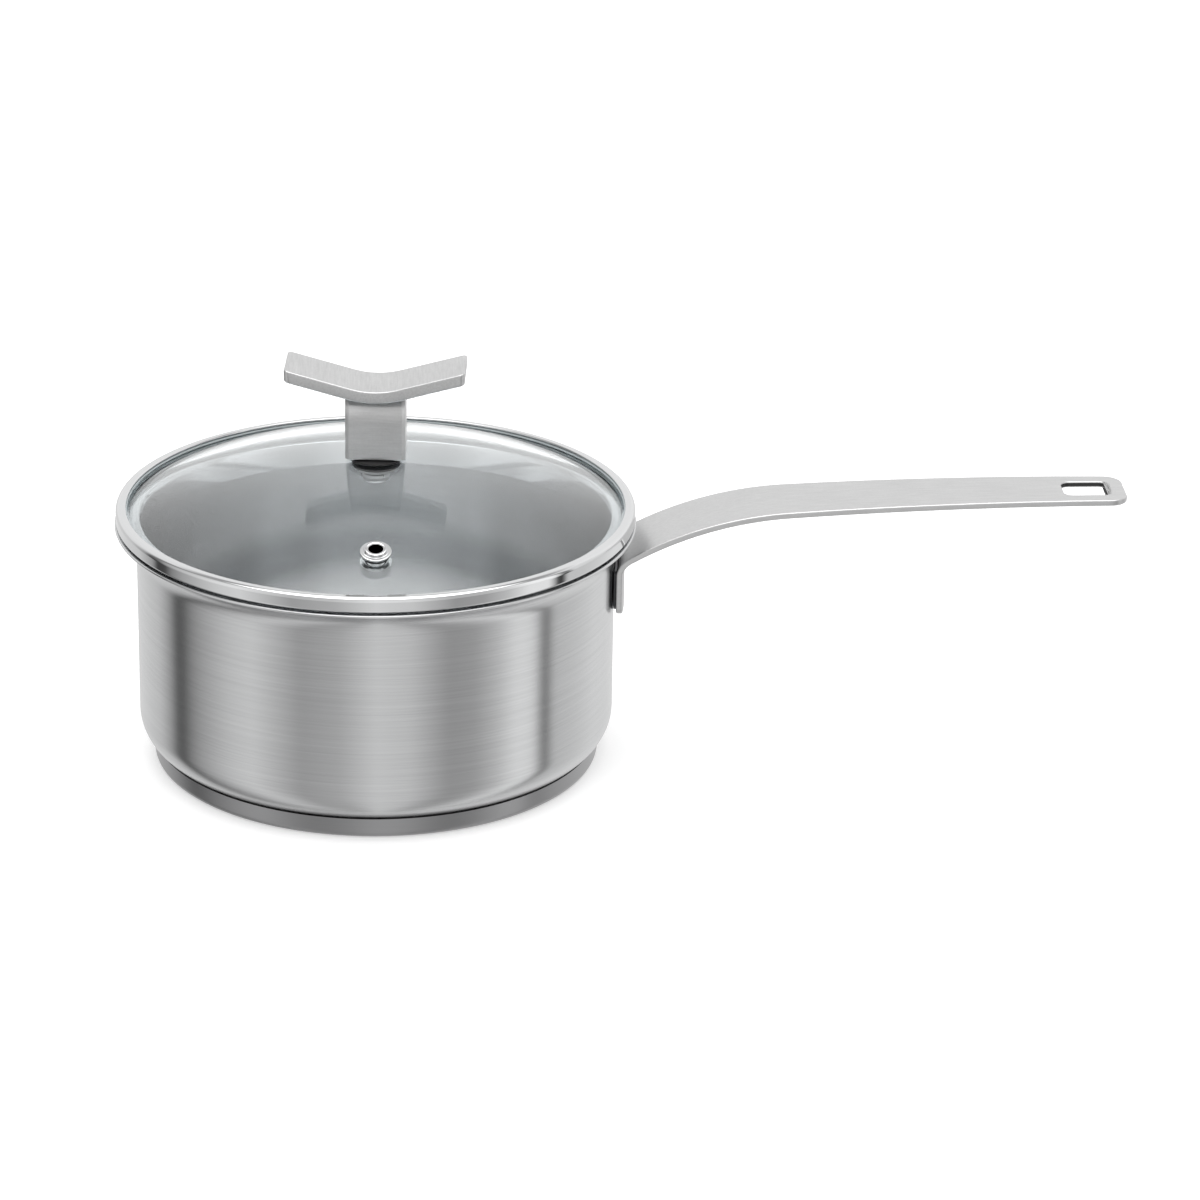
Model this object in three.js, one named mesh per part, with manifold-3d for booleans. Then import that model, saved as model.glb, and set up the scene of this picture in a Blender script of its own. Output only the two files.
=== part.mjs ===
// A 16 cm stainless saucepan with a bonded base, a pressed strip handle and a domed glass lid.
// Millimetres, +Z up, origin at the centre of the base's underside. The handle points along +X,
// and the lid's steam vent faces -Y.
import * as THREE from 'three';
import { mergeVertices } from 'three/addons/utils/BufferGeometryUtils.js';
import Module from 'manifold-3d';

const wasm = await Module();
wasm.setup();

// ---- Pan body -------------------------------------------------------------------------------
const PAN_RADIUS = 81;            // outside of the straight wall
const PAN_RIM_HEIGHT = 84.4;      // top of the pouring rim
const PAN_WALL = 1.0;
const PAN_CORNER_RADIUS = 12;     // outside, between floor and wall
const FLARE_RADIUS = 9;           // outside of the rim's outward curl
const FLARE_SWEEP = 79;           // degrees that the curl turns through

// ---- Bonded base ----------------------------------------------------------------------------
const BASE_CUP_WALL = 0.6;
const BASE_CORE_THICKNESS = 4.4;
const BASE_CORE_INSET = 1.6;      // inside the cup's mouth
const BASE_CUP_HEIGHT = 7.2;
const BASE_FOOT_RADIUS = 2.6;     // outside corner where the cup meets what it stands on

// ---- Clearances -----------------------------------------------------------------------------
const GAP = 0.2;                  // between pieces that are stacked or nested
const LID_SEAT_GAP = 0.3;         // between the lid's flange and the pan's flare
const LID_SIDE_PLAY = 1.0;        // between the lid's skirt and the pan's mouth

// ---- Handle ---------------------------------------------------------------------------------
const HANDLE_LENGTH = 173.5;      // outside of the wall to the handle's tip
const HANDLE_THICKNESS = 2.1;
const HANDLE_ROOT_WIDTH = 30.8;
const HANDLE_TIP_WIDTH = 23.5;
const HANDLE_TIP_CORNER = 6;
const HANDLE_CLIMB_ANGLE = 29;    // degrees above level, just past the bend
const HANDLE_ARCH_ANGLE = 3.7;    // degrees above level where the long shallow arch begins
const HANDLE_BEND_RADIUS = 7;     // upper face, tab to climbing stretch
const HANDLE_CREST_RADIUS = 126;  // upper face, climbing stretch to shallow arch
const HANDLE_CLIMB_LENGTH = 0.5;  // straight stretch between the two bends
const TAB_DROP = 30;              // pan rim's top down to the tab's lower edge
const TAB_LENGTH = 15;
const TAB_CORNER = 3;
const HANG_HOLE_LENGTH = 16;
const HANG_HOLE_WIDTH = 12.5;
const HANG_HOLE_CORNER = 3;
const HANG_HOLE_MARGIN = 5.2;     // handle tip to the hole

// ---- Weld plate -----------------------------------------------------------------------------
const PLATE_THICKNESS = 1.0;
const PLATE_SIDE_MARGIN = 2.4;     // the tab overlaps the plate by this on each side
const PLATE_HEIGHT = 15;
const PLATE_CORNER = 5;

// ---- Lid rim and glass ----------------------------------------------------------------------
const LID_RIM_SETBACK = 0.5;      // the band stands this far inside the pan's rim
const LID_RIM_METAL = 0.6;
const LID_RIM_CROWN = 1.5;        // rounding at the band's top
const LID_LIP_WIDTH = 3.5;
const LID_LIP_THICKNESS = 0.8;
const LID_FLANGE_STEP = 1.2;      // the flange lies this far below the band's lower edge
const LID_SKIRT_DEPTH = 8;
const LID_SKIRT_TAPER = 1.6;      // the skirt draws in by this, so that the lid drops in easily
const SEAL_THICKNESS = 0.6;
const SEAL_LEDGE = 0.4;           // the bead shows this far inside the lip
const GLASS_THICKNESS = 3.6;
const GLASS_RISE = 17.5;          // edge to crown
const GLASS_EDGE_BEVEL = 0.8;     // ground edge that clears the channel's curve

// ---- Steam vent -----------------------------------------------------------------------------
const VENT_INSET = 19.8;          // lip of the rim to the vent's middle
const VENT_HOLE_RADIUS = 3.4;     // in the glass
const VENT_BORE_RADIUS = 2.35;
const VENT_FLANGE_RADIUS = 5.2;
const VENT_METAL = 0.7;
const VENT_COLLAR_HEIGHT = 1.1;   // rolled collar above the flange
const VENT_GASKET_RADIUS = 4.7;
const VENT_GASKET_THICKNESS = 0.9;

// ---- Knob -----------------------------------------------------------------------------------
const KNOB_TURN = -3.3;           // degrees that the knob is screwed round from the handle's line
const GRIP_SPAN = 60.4;
const GRIP_DEPTH = 21;
const GRIP_THICKNESS = 4;
const GRIP_WING_ANGLE = 15.3;
const GRIP_BEND_RADIUS = 30;      // upper face
const GRIP_CORNER = 2;
const STEM_WIDTH = 20.2;
const STEM_DEPTH = 12;
const STEM_BEVEL = 1.2;
const STEM_HEIGHT = 21.6;
const GASKET_RADIUS = 9.2;
const GASKET_THICKNESS = 0.7;
const INNER_GASKET_RADIUS = 8;
const WASHER_RADIUS = 7.2;
const WASHER_THICKNESS = 0.8;
const LOCK_WASHER_RADIUS = 4.6;
const SCREW_RADIUS = 2.5;
const SCREW_HEAD_RADIUS = 4.6;
const SCREW_HEAD_HEIGHT = 2.8;
const SCREW_REACH = 12;           // into the stem
const SCREW_RECESS_RADIUS = 1.6;
const SCREW_RECESS_DEPTH = 1.6;
const BOLT_CLEARANCE = 0.4;       // round the screw, in the stack it passes through

// ---- Facets ---------------------------------------------------------------------------------
const LARGE_FACETS = 48;
const SMALL_FACETS = 20;
const ARC_STEP = 16;              // degrees between points on a rounded outline
const SMALL_ARC_STEP = 45;        // the same, on an edge rounding
const SMALL_ARC_RADIUS = 2.7;     // up to this radius, an arc counts as an edge rounding
const WIDTH_STRIPS = 6;           // strips across the handle
const DOME_STEPS = 7;             // rings between the glass's crown and its edge

const rad = THREE.MathUtils.degToRad;

// ---- Helpers --------------------------------------------------------------------------------

// Points along an arc, from one angle to the other, in degrees.
function arc(cx, cy, radius, from, to) {
  const step = radius > SMALL_ARC_RADIUS ? ARC_STEP : SMALL_ARC_STEP;
  const steps = Math.max(2, Math.ceil(Math.abs(to - from) / step));
  const points = [];
  for (let i = 0; i <= steps; i += 1) {
    const angle = rad(from + (to - from) * i / steps);
    points.push([cx + radius * Math.cos(angle), cy + radius * Math.sin(angle)]);
  }
  return points;
}

// A body of revolution about Z. The profile is a list of [radius, height] that starts and ends on
// the axis, or goes once round a ring's section. Listed counter-clockwise, with the axis on the left.
function turned(profile, facets, closed = false) {
  const points = profile.map(([r, z]) => new THREE.Vector2(Math.max(r, 0), z));
  if (closed) points.push(points[0].clone());
  const geometry = new THREE.LatheGeometry(points, facets);
  geometry.rotateX(Math.PI / 2);
  return geometry;
}

function ring(inner, outer, bottom, top, facets) {
  return turned([[inner, bottom], [outer, bottom], [outer, top], [inner, top]], facets, true);
}

function toSolid(geometry) {
  const bare = geometry.clone();
  bare.deleteAttribute('normal');
  bare.deleteAttribute('uv');
  const merged = mergeVertices(bare, 1e-4);
  const triangles = [];
  const index = merged.index.array;
  for (let i = 0; i < index.length; i += 3) {
    const [a, b, c] = [index[i], index[i + 1], index[i + 2]];
    if (a !== b && b !== c && c !== a) triangles.push(a, b, c);
  }
  return new wasm.Manifold(new wasm.Mesh({
    numProp: 3,
    vertProperties: Float32Array.from(merged.attributes.position.array),
    triVerts: Uint32Array.from(triangles),
  }));
}

function toGeometry(solid) {
  const mesh = solid.getMesh();
  const geometry = new THREE.BufferGeometry();
  geometry.setAttribute('position', new THREE.BufferAttribute(Float32Array.from(mesh.vertProperties), 3));
  geometry.setIndex(new THREE.BufferAttribute(Uint32Array.from(mesh.triVerts), 1));
  geometry.computeVertexNormals();
  return geometry;
}

// A flat outline in X and Y, raised from bottom to top.
function raised(points, bottom, top) {
  const shape = new THREE.Shape(points.map(([x, y]) => new THREE.Vector2(x, y)));
  const geometry = new THREE.ExtrudeGeometry(shape, { depth: top - bottom, bevelEnabled: false });
  geometry.translate(0, 0, bottom);
  return geometry;
}

// A rectangle with rounded corners, centred on (cx, cy).
function roundedRectangle(cx, cy, width, height, corner) {
  const x = width / 2 - corner;
  const y = height / 2 - corner;
  return [
    ...arc(cx + x, cy + y, corner, 0, 90),
    ...arc(cx - x, cy + y, corner, 90, 180),
    ...arc(cx - x, cy - y, corner, 180, 270),
    ...arc(cx + x, cy - y, corner, 270, 360),
  ];
}

// An upright outline in X and Z, carried across Y from -depth / 2 to depth / 2.
function carriedAcross(points, depth) {
  const geometry = raised(points, -depth / 2, depth / 2);
  geometry.rotateX(Math.PI / 2);
  return geometry;
}

const root = new THREE.Group();
const FINISH = {
  brushed: { color: 0xb9bbbc, roughness: 0.34, metalness: 1 },
  polished: { color: 0xd6d8d9, roughness: 0.08, metalness: 1 },
  satin: { color: 0xb4b6b6, roughness: 0.42, metalness: 1 },
  cup: { color: 0xa4a6a7, roughness: 0.38, metalness: 1 },
  aluminium: { color: 0xc4c6c8, roughness: 0.5, metalness: 1 },
  silicone: { color: 0x151617, roughness: 0.55, metalness: 0 },
  paleSilicone: { color: 0xb4bcbd, roughness: 0.5, metalness: 0 },
  weldTint: { color: 0x2c2c2e, roughness: 0.4, metalness: 1 },
  glass: { color: 0xd9e6e6, roughness: 0.03, metalness: 0 },
};

function add(name, geometry, finish, group = root) {
  const mesh = new THREE.Mesh(geometry, new THREE.MeshStandardMaterial(FINISH[finish]));
  mesh.name = name;
  group.add(mesh);
}

// ---- Base -----------------------------------------------------------------------------------
const coreBottom = BASE_CUP_WALL + GAP;
const floorBottom = coreBottom + BASE_CORE_THICKNESS + GAP;
const cornerCentre = [PAN_RADIUS - PAN_CORNER_RADIUS, floorBottom + PAN_CORNER_RADIUS];

// Radius of the body's outer corner at a height, and the cup's mouth that closes on it.
function cornerRadiusAt(height) {
  const drop = cornerCentre[1] - height;
  return cornerCentre[0] + Math.sqrt(PAN_CORNER_RADIUS ** 2 - drop ** 2);
}

const cupMouth = cornerRadiusAt(BASE_CUP_HEIGHT) + GAP;
const cupRadius = cupMouth + BASE_CUP_WALL;
const coreRadius = cupMouth - BASE_CORE_INSET;
add('base_core', turned([
  [0, coreBottom],
  [coreRadius, coreBottom],
  [coreRadius, floorBottom - GAP],
  [0, floorBottom - GAP],
], LARGE_FACETS), 'aluminium');

add('base_capsule', turned([
  [0, 0],
  ...arc(cupRadius - BASE_FOOT_RADIUS, BASE_FOOT_RADIUS, BASE_FOOT_RADIUS, -90, 0),
  [cupRadius, BASE_CUP_HEIGHT],
  [cupMouth, BASE_CUP_HEIGHT],
  ...arc(cupRadius - BASE_FOOT_RADIUS, BASE_FOOT_RADIUS, BASE_FOOT_RADIUS - BASE_CUP_WALL, 0, -90),
  [0, BASE_CUP_WALL],
], LARGE_FACETS), 'cup');

// ---- Pan body -------------------------------------------------------------------------------
const flareAxis = PAN_RADIUS + FLARE_RADIUS;
const flareInside = FLARE_RADIUS + PAN_WALL;
const flareBase = PAN_RIM_HEIGHT - flareInside * Math.sin(rad(FLARE_SWEEP));
const mouthRadius = PAN_RADIUS - PAN_WALL;

// Height of the flare's upper face at a radius.
function flareHeightAt(radius) {
  return flareBase + Math.sqrt(flareInside ** 2 - (flareAxis - radius) ** 2);
}

add('pan_body', turned([
  [0, floorBottom],
  ...arc(...cornerCentre, PAN_CORNER_RADIUS, -90, 0),
  ...arc(flareAxis, flareBase, FLARE_RADIUS, 180, 180 - FLARE_SWEEP),
  ...arc(flareAxis, flareBase, flareInside, 180 - FLARE_SWEEP, 180),
  ...arc(...cornerCentre, PAN_CORNER_RADIUS - PAN_WALL, 0, -90),
  [0, floorBottom + PAN_WALL],
], LARGE_FACETS), 'brushed');

// ---- Handle and weld plate ------------------------------------------------------------------
const plateInside = PAN_RADIUS + GAP;
const plateOutside = plateInside + PLATE_THICKNESS;
const tabInside = plateOutside + GAP;
const tabBottom = PAN_RIM_HEIGHT - TAB_DROP;
const handleTip = PAN_RADIUS + HANDLE_LENGTH;
const handleSweep = HANDLE_LENGTH + PAN_RIM_HEIGHT;   // longer than any stretch of the handle

// How far a face curved to a radius falls back from its middle, at a place across the width.
function sag(radius, across) {
  return radius - Math.sqrt(radius ** 2 - across ** 2);
}

// Stations along the handle's upper face: [x, z, direction in degrees, share of the wall's curve].
function handleStations() {
  const stations = [[tabInside, tabBottom, 90, 1], [tabInside, tabBottom + TAB_LENGTH, 90, 1]];
  let [x, z] = stations[1];
  const turn = (radius, from, to, shareFrom, shareTo) => {
    const steps = Math.max(3, Math.ceil((from - to) / ARC_STEP));
    for (let i = 1; i <= steps; i += 1) {
      const angle = from + (to - from) * i / steps;
      const share = shareFrom + (shareTo - shareFrom) * i / steps;
      const px = x + radius * (Math.sin(rad(from)) - Math.sin(rad(angle)));
      const pz = z + radius * (Math.cos(rad(angle)) - Math.cos(rad(from)));
      stations.push([px, pz, angle, share]);
    }
    [x, z] = stations[stations.length - 1];
  };
  turn(HANDLE_BEND_RADIUS, 90, HANDLE_CLIMB_ANGLE, 1, 0);
  x += HANDLE_CLIMB_LENGTH * Math.cos(rad(HANDLE_CLIMB_ANGLE));
  z += HANDLE_CLIMB_LENGTH * Math.sin(rad(HANDLE_CLIMB_ANGLE));
  stations.push([x, z, HANDLE_CLIMB_ANGLE, 0]);
  turn(HANDLE_CREST_RADIUS, HANDLE_CLIMB_ANGLE, HANDLE_ARCH_ANGLE, 0, 0);
  const archRadius = (handleTip - x) / Math.sin(rad(HANDLE_ARCH_ANGLE));
  turn(archRadius, HANDLE_ARCH_ANGLE, 0, 0, 0);
  return stations;
}

// The strip: a rectangular section carried along the stations, its tab curved like the wall.
function handleStrip() {
  const stations = handleStations();
  const width = HANDLE_ROOT_WIDTH + 2;
  const columns = WIDTH_STRIPS + 1;
  const positions = [];
  for (const depth of [0, HANDLE_THICKNESS]) {
    for (const [x, z, angle, share] of stations) {
      for (let j = 0; j < columns; j += 1) {
        const y = width * (j / WIDTH_STRIPS - 0.5);
        const back = share * sag(tabInside, y);
        positions.push(x + depth * Math.sin(rad(angle)) - back, y, z - depth * Math.cos(rad(angle)));
      }
    }
  }
  const rows = stations.length;
  const at = (side, i, j) => side * rows * columns + i * columns + j;
  const triangles = [];
  const quad = (a, b, c, d) => triangles.push(a, b, c, a, c, d);
  for (let i = 0; i + 1 < rows; i += 1) {
    for (let j = 0; j + 1 < columns; j += 1) {
      quad(at(0, i, j), at(0, i + 1, j), at(0, i + 1, j + 1), at(0, i, j + 1));
      quad(at(1, i, j), at(1, i, j + 1), at(1, i + 1, j + 1), at(1, i + 1, j));
    }
    quad(at(0, i, 0), at(1, i, 0), at(1, i + 1, 0), at(0, i + 1, 0));
    quad(at(0, i, columns - 1), at(0, i + 1, columns - 1), at(1, i + 1, columns - 1), at(1, i, columns - 1));
  }
  for (let j = 0; j + 1 < columns; j += 1) {
    quad(at(0, 0, j), at(0, 0, j + 1), at(1, 0, j + 1), at(1, 0, j));
    quad(at(0, rows - 1, j), at(1, rows - 1, j), at(1, rows - 1, j + 1), at(0, rows - 1, j + 1));
  }
  const geometry = new THREE.BufferGeometry();
  geometry.setAttribute('position', new THREE.BufferAttribute(new Float32Array(positions), 3));
  geometry.setIndex(triangles);
  return toSolid(geometry);
}

// Seen from above: tapering sides and a rounded tip. The tab's lower corners are rounded apart.
function handlePlan() {
  const back = tabInside - 10;
  const tipCentre = handleTip - HANDLE_TIP_CORNER;
  const tipSide = HANDLE_TIP_WIDTH / 2 - HANDLE_TIP_CORNER;
  const rootSide = HANDLE_ROOT_WIDTH / 2;
  const outline = [
    [back, -rootSide],
    [tabInside, -rootSide],
    ...arc(tipCentre, -tipSide, HANDLE_TIP_CORNER, -90, 0),
    ...arc(tipCentre, tipSide, HANDLE_TIP_CORNER, 0, 90),
    [tabInside, rootSide],
    [back, rootSide],
  ];
  return toSolid(raised(outline, 0, PAN_RIM_HEIGHT * 2));
}

// Seen along X: the tab's silhouette, open upwards.
function uprightPlan(width, bottom, top, corner) {
  const side = width / 2;
  const outline = [
    ...arc(-side + corner, bottom + corner, corner, 180, 270),
    ...arc(side - corner, bottom + corner, corner, 270, 360),
    [side, top],
    [-side, top],
  ];
  const geometry = raised(outline, 0, handleTip + handleSweep);
  geometry.rotateX(Math.PI / 2);
  geometry.rotateZ(Math.PI / 2);
  return toSolid(geometry);
}

const hangHoleCentre = handleTip - HANG_HOLE_MARGIN - HANG_HOLE_LENGTH / 2;
const hangHole = toSolid(raised(
  roundedRectangle(hangHoleCentre, 0, HANG_HOLE_LENGTH, HANG_HOLE_WIDTH, HANG_HOLE_CORNER),
  0,
  PAN_RIM_HEIGHT * 2,
));
add('handle', toGeometry(handleStrip()
  .intersect(handlePlan())
  .intersect(uprightPlan(HANDLE_ROOT_WIDTH, tabBottom, PAN_RIM_HEIGHT * 2, TAB_CORNER))
  .subtract(hangHole)), 'satin');

const plateTop = tabBottom + PLATE_HEIGHT;
const plateShell = toSolid(ring(plateInside, plateOutside, tabBottom, plateTop, LARGE_FACETS * 2));
add('handle_weld_plate', toGeometry(plateShell.intersect(
  uprightPlan(HANDLE_ROOT_WIDTH - 2 * PLATE_SIDE_MARGIN, tabBottom, PAN_RIM_HEIGHT, PLATE_CORNER),
)), 'weldTint');

// ---- Lid ------------------------------------------------------------------------------------
const lid = new THREE.Group();
root.add(lid);
const skirtOutside = mouthRadius - LID_SIDE_PLAY;
const skirtInside = skirtOutside - LID_RIM_METAL;
const flareTip = flareAxis - FLARE_RADIUS * Math.cos(rad(FLARE_SWEEP));
const rimRadius = flareTip - LID_RIM_SETBACK;
const lipRadius = rimRadius - LID_LIP_WIDTH;
const bandInside = rimRadius - LID_RIM_METAL;
const flangeOuter = rimRadius - LID_FLANGE_STEP * 1.5;
const flangeUnder = flareHeightAt(flangeOuter) + LID_SEAT_GAP;
const flangeTop = flangeUnder + LID_RIM_METAL;
const bandBottom = flangeUnder + LID_FLANGE_STEP;
const skirtBottom = flangeUnder - LID_SKIRT_DEPTH;
const landUnder = flangeTop + GAP;
const glassEdgeTop = landUnder + GLASS_THICKNESS;
const sealTop = glassEdgeTop + GAP + SEAL_THICKNESS;
const lipUnder = sealTop + GAP;
const rimTop = lipUnder + LID_LIP_THICKNESS;

add('lid_rim', turned([
  [skirtInside - LID_SKIRT_TAPER, skirtBottom],
  [skirtOutside - LID_SKIRT_TAPER, skirtBottom],
  [skirtOutside, flangeUnder - LID_RIM_METAL],
  [skirtOutside + LID_RIM_METAL, flangeUnder],
  [flangeOuter, flangeUnder],
  [bandInside, bandBottom - LID_RIM_METAL / 2],
  [rimRadius, bandBottom + LID_RIM_METAL / 2],
  ...arc(rimRadius - LID_RIM_CROWN, rimTop - LID_RIM_CROWN, LID_RIM_CROWN, 0, 90),
  ...arc(lipRadius + LID_LIP_THICKNESS / 2, rimTop - LID_LIP_THICKNESS / 2, LID_LIP_THICKNESS / 2, 90, 270),
  [bandInside, lipUnder],
  [bandInside, bandBottom + LID_RIM_METAL],
  [flangeOuter - LID_RIM_METAL / 2, flangeTop],
  [skirtOutside, flangeTop],
  [skirtInside, flangeTop - 2 * LID_RIM_METAL],
], LARGE_FACETS, true), 'polished', lid);

const sealRadius = bandInside - GAP;
const sealLedgeRadius = lipRadius - SEAL_LEDGE;
const glassEdge = sealRadius - SEAL_THICKNESS - GAP;
add('lid_rim_seal', turned([
  [sealRadius - SEAL_THICKNESS, bandBottom + LID_RIM_METAL + GAP],
  [sealRadius, bandBottom + LID_RIM_METAL + GAP],
  [sealRadius, sealTop],
  [sealLedgeRadius, sealTop],
  [sealLedgeRadius, sealTop - SEAL_THICKNESS],
  [sealRadius - SEAL_THICKNESS, sealTop - SEAL_THICKNESS],
], LARGE_FACETS, true), 'paleSilicone', lid);

// The dome's two faces are concentric, and end on a flat land that the channel holds.
const glassCrown = glassEdgeTop + GLASS_RISE;
const domeRadius = (sealLedgeRadius ** 2 + GLASS_RISE ** 2) / (2 * GLASS_RISE);
const domeCentre = glassCrown - domeRadius;
const knobHoleRadius = SCREW_RADIUS + BOLT_CLEARANCE + GAP;

function domeFace(radius, fromRadius, toRadius) {
  const steps = DOME_STEPS;
  const points = [];
  for (let i = 0; i <= steps; i += 1) {
    const r = fromRadius + (toRadius - fromRadius) * i / steps;
    points.push([r, domeCentre + Math.sqrt(radius ** 2 - r ** 2)]);
  }
  return points;
}

const underRadius = domeRadius - GLASS_THICKNESS;
const landUnderRadius = Math.sqrt(underRadius ** 2 - (landUnder - domeCentre) ** 2);
const glassBlank = toSolid(turned([
  ...domeFace(underRadius, knobHoleRadius, landUnderRadius),
  [glassEdge - GLASS_EDGE_BEVEL, landUnder],
  [glassEdge, landUnder + GLASS_EDGE_BEVEL],
  [glassEdge, glassEdgeTop],
  ...domeFace(domeRadius, sealLedgeRadius, knobHoleRadius),
], LARGE_FACETS, true));

// The vent stands square to the glass, in a group turned about the dome's centre.
const ventOffset = lipRadius - VENT_INSET;
const ventTilt = Math.asin(ventOffset / domeRadius);
const vent = new THREE.Group();
vent.position.set(0, -ventOffset, domeCentre + Math.sqrt(domeRadius ** 2 - ventOffset ** 2));
vent.rotation.x = ventTilt;
lid.add(vent);
vent.updateMatrix();
const ventDrill = turned([
  [0, -GLASS_THICKNESS * 3],
  [VENT_HOLE_RADIUS, -GLASS_THICKNESS * 3],
  [VENT_HOLE_RADIUS, GLASS_THICKNESS * 2],
  [0, GLASS_THICKNESS * 2],
], SMALL_FACETS);
ventDrill.applyMatrix4(vent.matrix);
add('lid_glass', toGeometry(glassBlank.subtract(toSolid(ventDrill))), 'glass', lid);

// ---- Steam vent, in its group: z = 0 is the glass's upper face --------------------------------
const ventGap = 0.3;
const tubeRadius = VENT_BORE_RADIUS + VENT_METAL;
const ventGasketTop = ventGap + VENT_GASKET_THICKNESS;
const ventFlangeUnder = ventGasketTop + ventGap;
const ventFlangeTop = ventFlangeUnder + VENT_METAL;
const collarTop = ventFlangeTop + VENT_COLLAR_HEIGHT;
const washerTop = -GLASS_THICKNESS - ventGap;
const washerUnder = washerTop - VENT_METAL;
const flareTop = washerUnder - ventGap;
const flareUnder = flareTop - VENT_METAL;
const collarCrown = VENT_METAL * 0.55;

add('vent_gasket', ring(
  tubeRadius + ventGap,
  VENT_GASKET_RADIUS,
  ventGap,
  ventGasketTop,
  SMALL_FACETS,
), 'silicone', vent);
add('vent_eyelet', turned([
  [VENT_BORE_RADIUS, flareUnder],
  [tubeRadius + VENT_METAL, flareUnder],
  [tubeRadius + VENT_METAL, flareTop],
  [tubeRadius, flareTop],
  [tubeRadius, ventFlangeUnder],
  [VENT_FLANGE_RADIUS - VENT_METAL / 2, ventFlangeUnder],
  ...arc(VENT_FLANGE_RADIUS - VENT_METAL / 2, ventFlangeUnder + VENT_METAL / 2, VENT_METAL / 2, -60, 90),
  [tubeRadius + VENT_METAL, ventFlangeTop],
  ...arc(tubeRadius + VENT_METAL - collarCrown, collarTop - collarCrown, collarCrown, 0, 90),
  ...arc(VENT_BORE_RADIUS + collarCrown, collarTop - collarCrown, collarCrown, 90, 180),
], SMALL_FACETS, true), 'polished', vent);
add('vent_washer', ring(
  tubeRadius + ventGap / 2,
  VENT_FLANGE_RADIUS,
  washerUnder,
  washerTop,
  SMALL_FACETS,
), 'satin', vent);

// ---- Knob -----------------------------------------------------------------------------------
const knob = new THREE.Group();
knob.rotation.z = rad(KNOB_TURN);
lid.add(knob);
const stackHole = SCREW_RADIUS + BOLT_CLEARANCE;
const gasketBottom = glassCrown + GAP;
const stemBottom = gasketBottom + GASKET_THICKNESS + GAP;
const gripUnder = stemBottom + STEM_HEIGHT + GAP;
const gripTop = gripUnder + GRIP_THICKNESS;
const gripCentre = gripTop + GRIP_BEND_RADIUS;

// Points along a face of the bent bar, at a distance below the upper face, from -X to +X.
function gripFace(below, halfSpan) {
  const radius = GRIP_BEND_RADIUS + below;
  const bend = arc(0, gripCentre, radius, -90 - GRIP_WING_ANGLE, -90 + GRIP_WING_ANGLE);
  const [endX, endZ] = bend[bend.length - 1];
  const tip = endZ + (halfSpan - endX) * Math.tan(rad(GRIP_WING_ANGLE));
  return [[-halfSpan, tip], ...bend, [halfSpan, tip]];
}

const gripProfile = [
  ...gripFace(GRIP_THICKNESS, GRIP_SPAN / 2),
  ...gripFace(0, GRIP_SPAN / 2).reverse(),
];
const gripPlan = toSolid(raised(
  roundedRectangle(0, 0, GRIP_SPAN, GRIP_DEPTH, GRIP_CORNER),
  gripUnder - GRIP_THICKNESS,
  gripTop + GRIP_SPAN,
));
const gripBar = toSolid(carriedAcross(gripProfile, GRIP_DEPTH));
add('knob_grip', toGeometry(gripBar.intersect(gripPlan)), 'satin', knob);

// The stem's top follows the bar's underside.
const stemProfile = [
  [-STEM_WIDTH / 2, stemBottom],
  [STEM_WIDTH / 2, stemBottom],
  ...gripFace(GRIP_THICKNESS + GAP, STEM_WIDTH / 2).reverse(),
];
const stemHalf = [STEM_WIDTH / 2, STEM_DEPTH / 2];
const stemPlan = toSolid(raised([
  [-stemHalf[0] + STEM_BEVEL, -stemHalf[1]],
  [stemHalf[0] - STEM_BEVEL, -stemHalf[1]],
  [stemHalf[0], -stemHalf[1] + STEM_BEVEL],
  [stemHalf[0], stemHalf[1] - STEM_BEVEL],
  [stemHalf[0] - STEM_BEVEL, stemHalf[1]],
  [-stemHalf[0] + STEM_BEVEL, stemHalf[1]],
  [-stemHalf[0], stemHalf[1] - STEM_BEVEL],
  [-stemHalf[0], -stemHalf[1] + STEM_BEVEL],
], stemBottom - 1, gripTop + GRIP_SPAN));
const tappedHole = toSolid(turned([
  [0, stemBottom - 1],
  [SCREW_RADIUS + GAP, stemBottom - 1],
  [SCREW_RADIUS + GAP, stemBottom + SCREW_REACH + GAP],
  [0, stemBottom + SCREW_REACH + SCREW_RADIUS],
], SMALL_FACETS));
add('knob_stem', toGeometry(toSolid(carriedAcross(stemProfile, STEM_DEPTH + 2))
  .intersect(stemPlan)
  .subtract(tappedHole)), 'satin', knob);

// The stack under the glass, from the top down. The first disc clears the dome's hollow face.
function stackDisc(name, radius, bottom, top, finish) {
  add(name, ring(stackHole, radius, bottom, top, SMALL_FACETS), finish, knob);
}

stackDisc('knob_gasket', GASKET_RADIUS, gasketBottom, gasketBottom + GASKET_THICKNESS, 'silicone');
const hollow = underRadius - Math.sqrt(underRadius ** 2 - INNER_GASKET_RADIUS ** 2);
const innerGasketTop = glassCrown - GLASS_THICKNESS - hollow - GAP;
const innerGasketBottom = innerGasketTop - GASKET_THICKNESS;
stackDisc('knob_inner_gasket', INNER_GASKET_RADIUS, innerGasketBottom, innerGasketTop, 'silicone');
const knobWasherTop = innerGasketBottom - GAP;
const knobWasherBottom = knobWasherTop - WASHER_THICKNESS;
stackDisc('knob_washer', WASHER_RADIUS, knobWasherBottom, knobWasherTop, 'satin');

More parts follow.
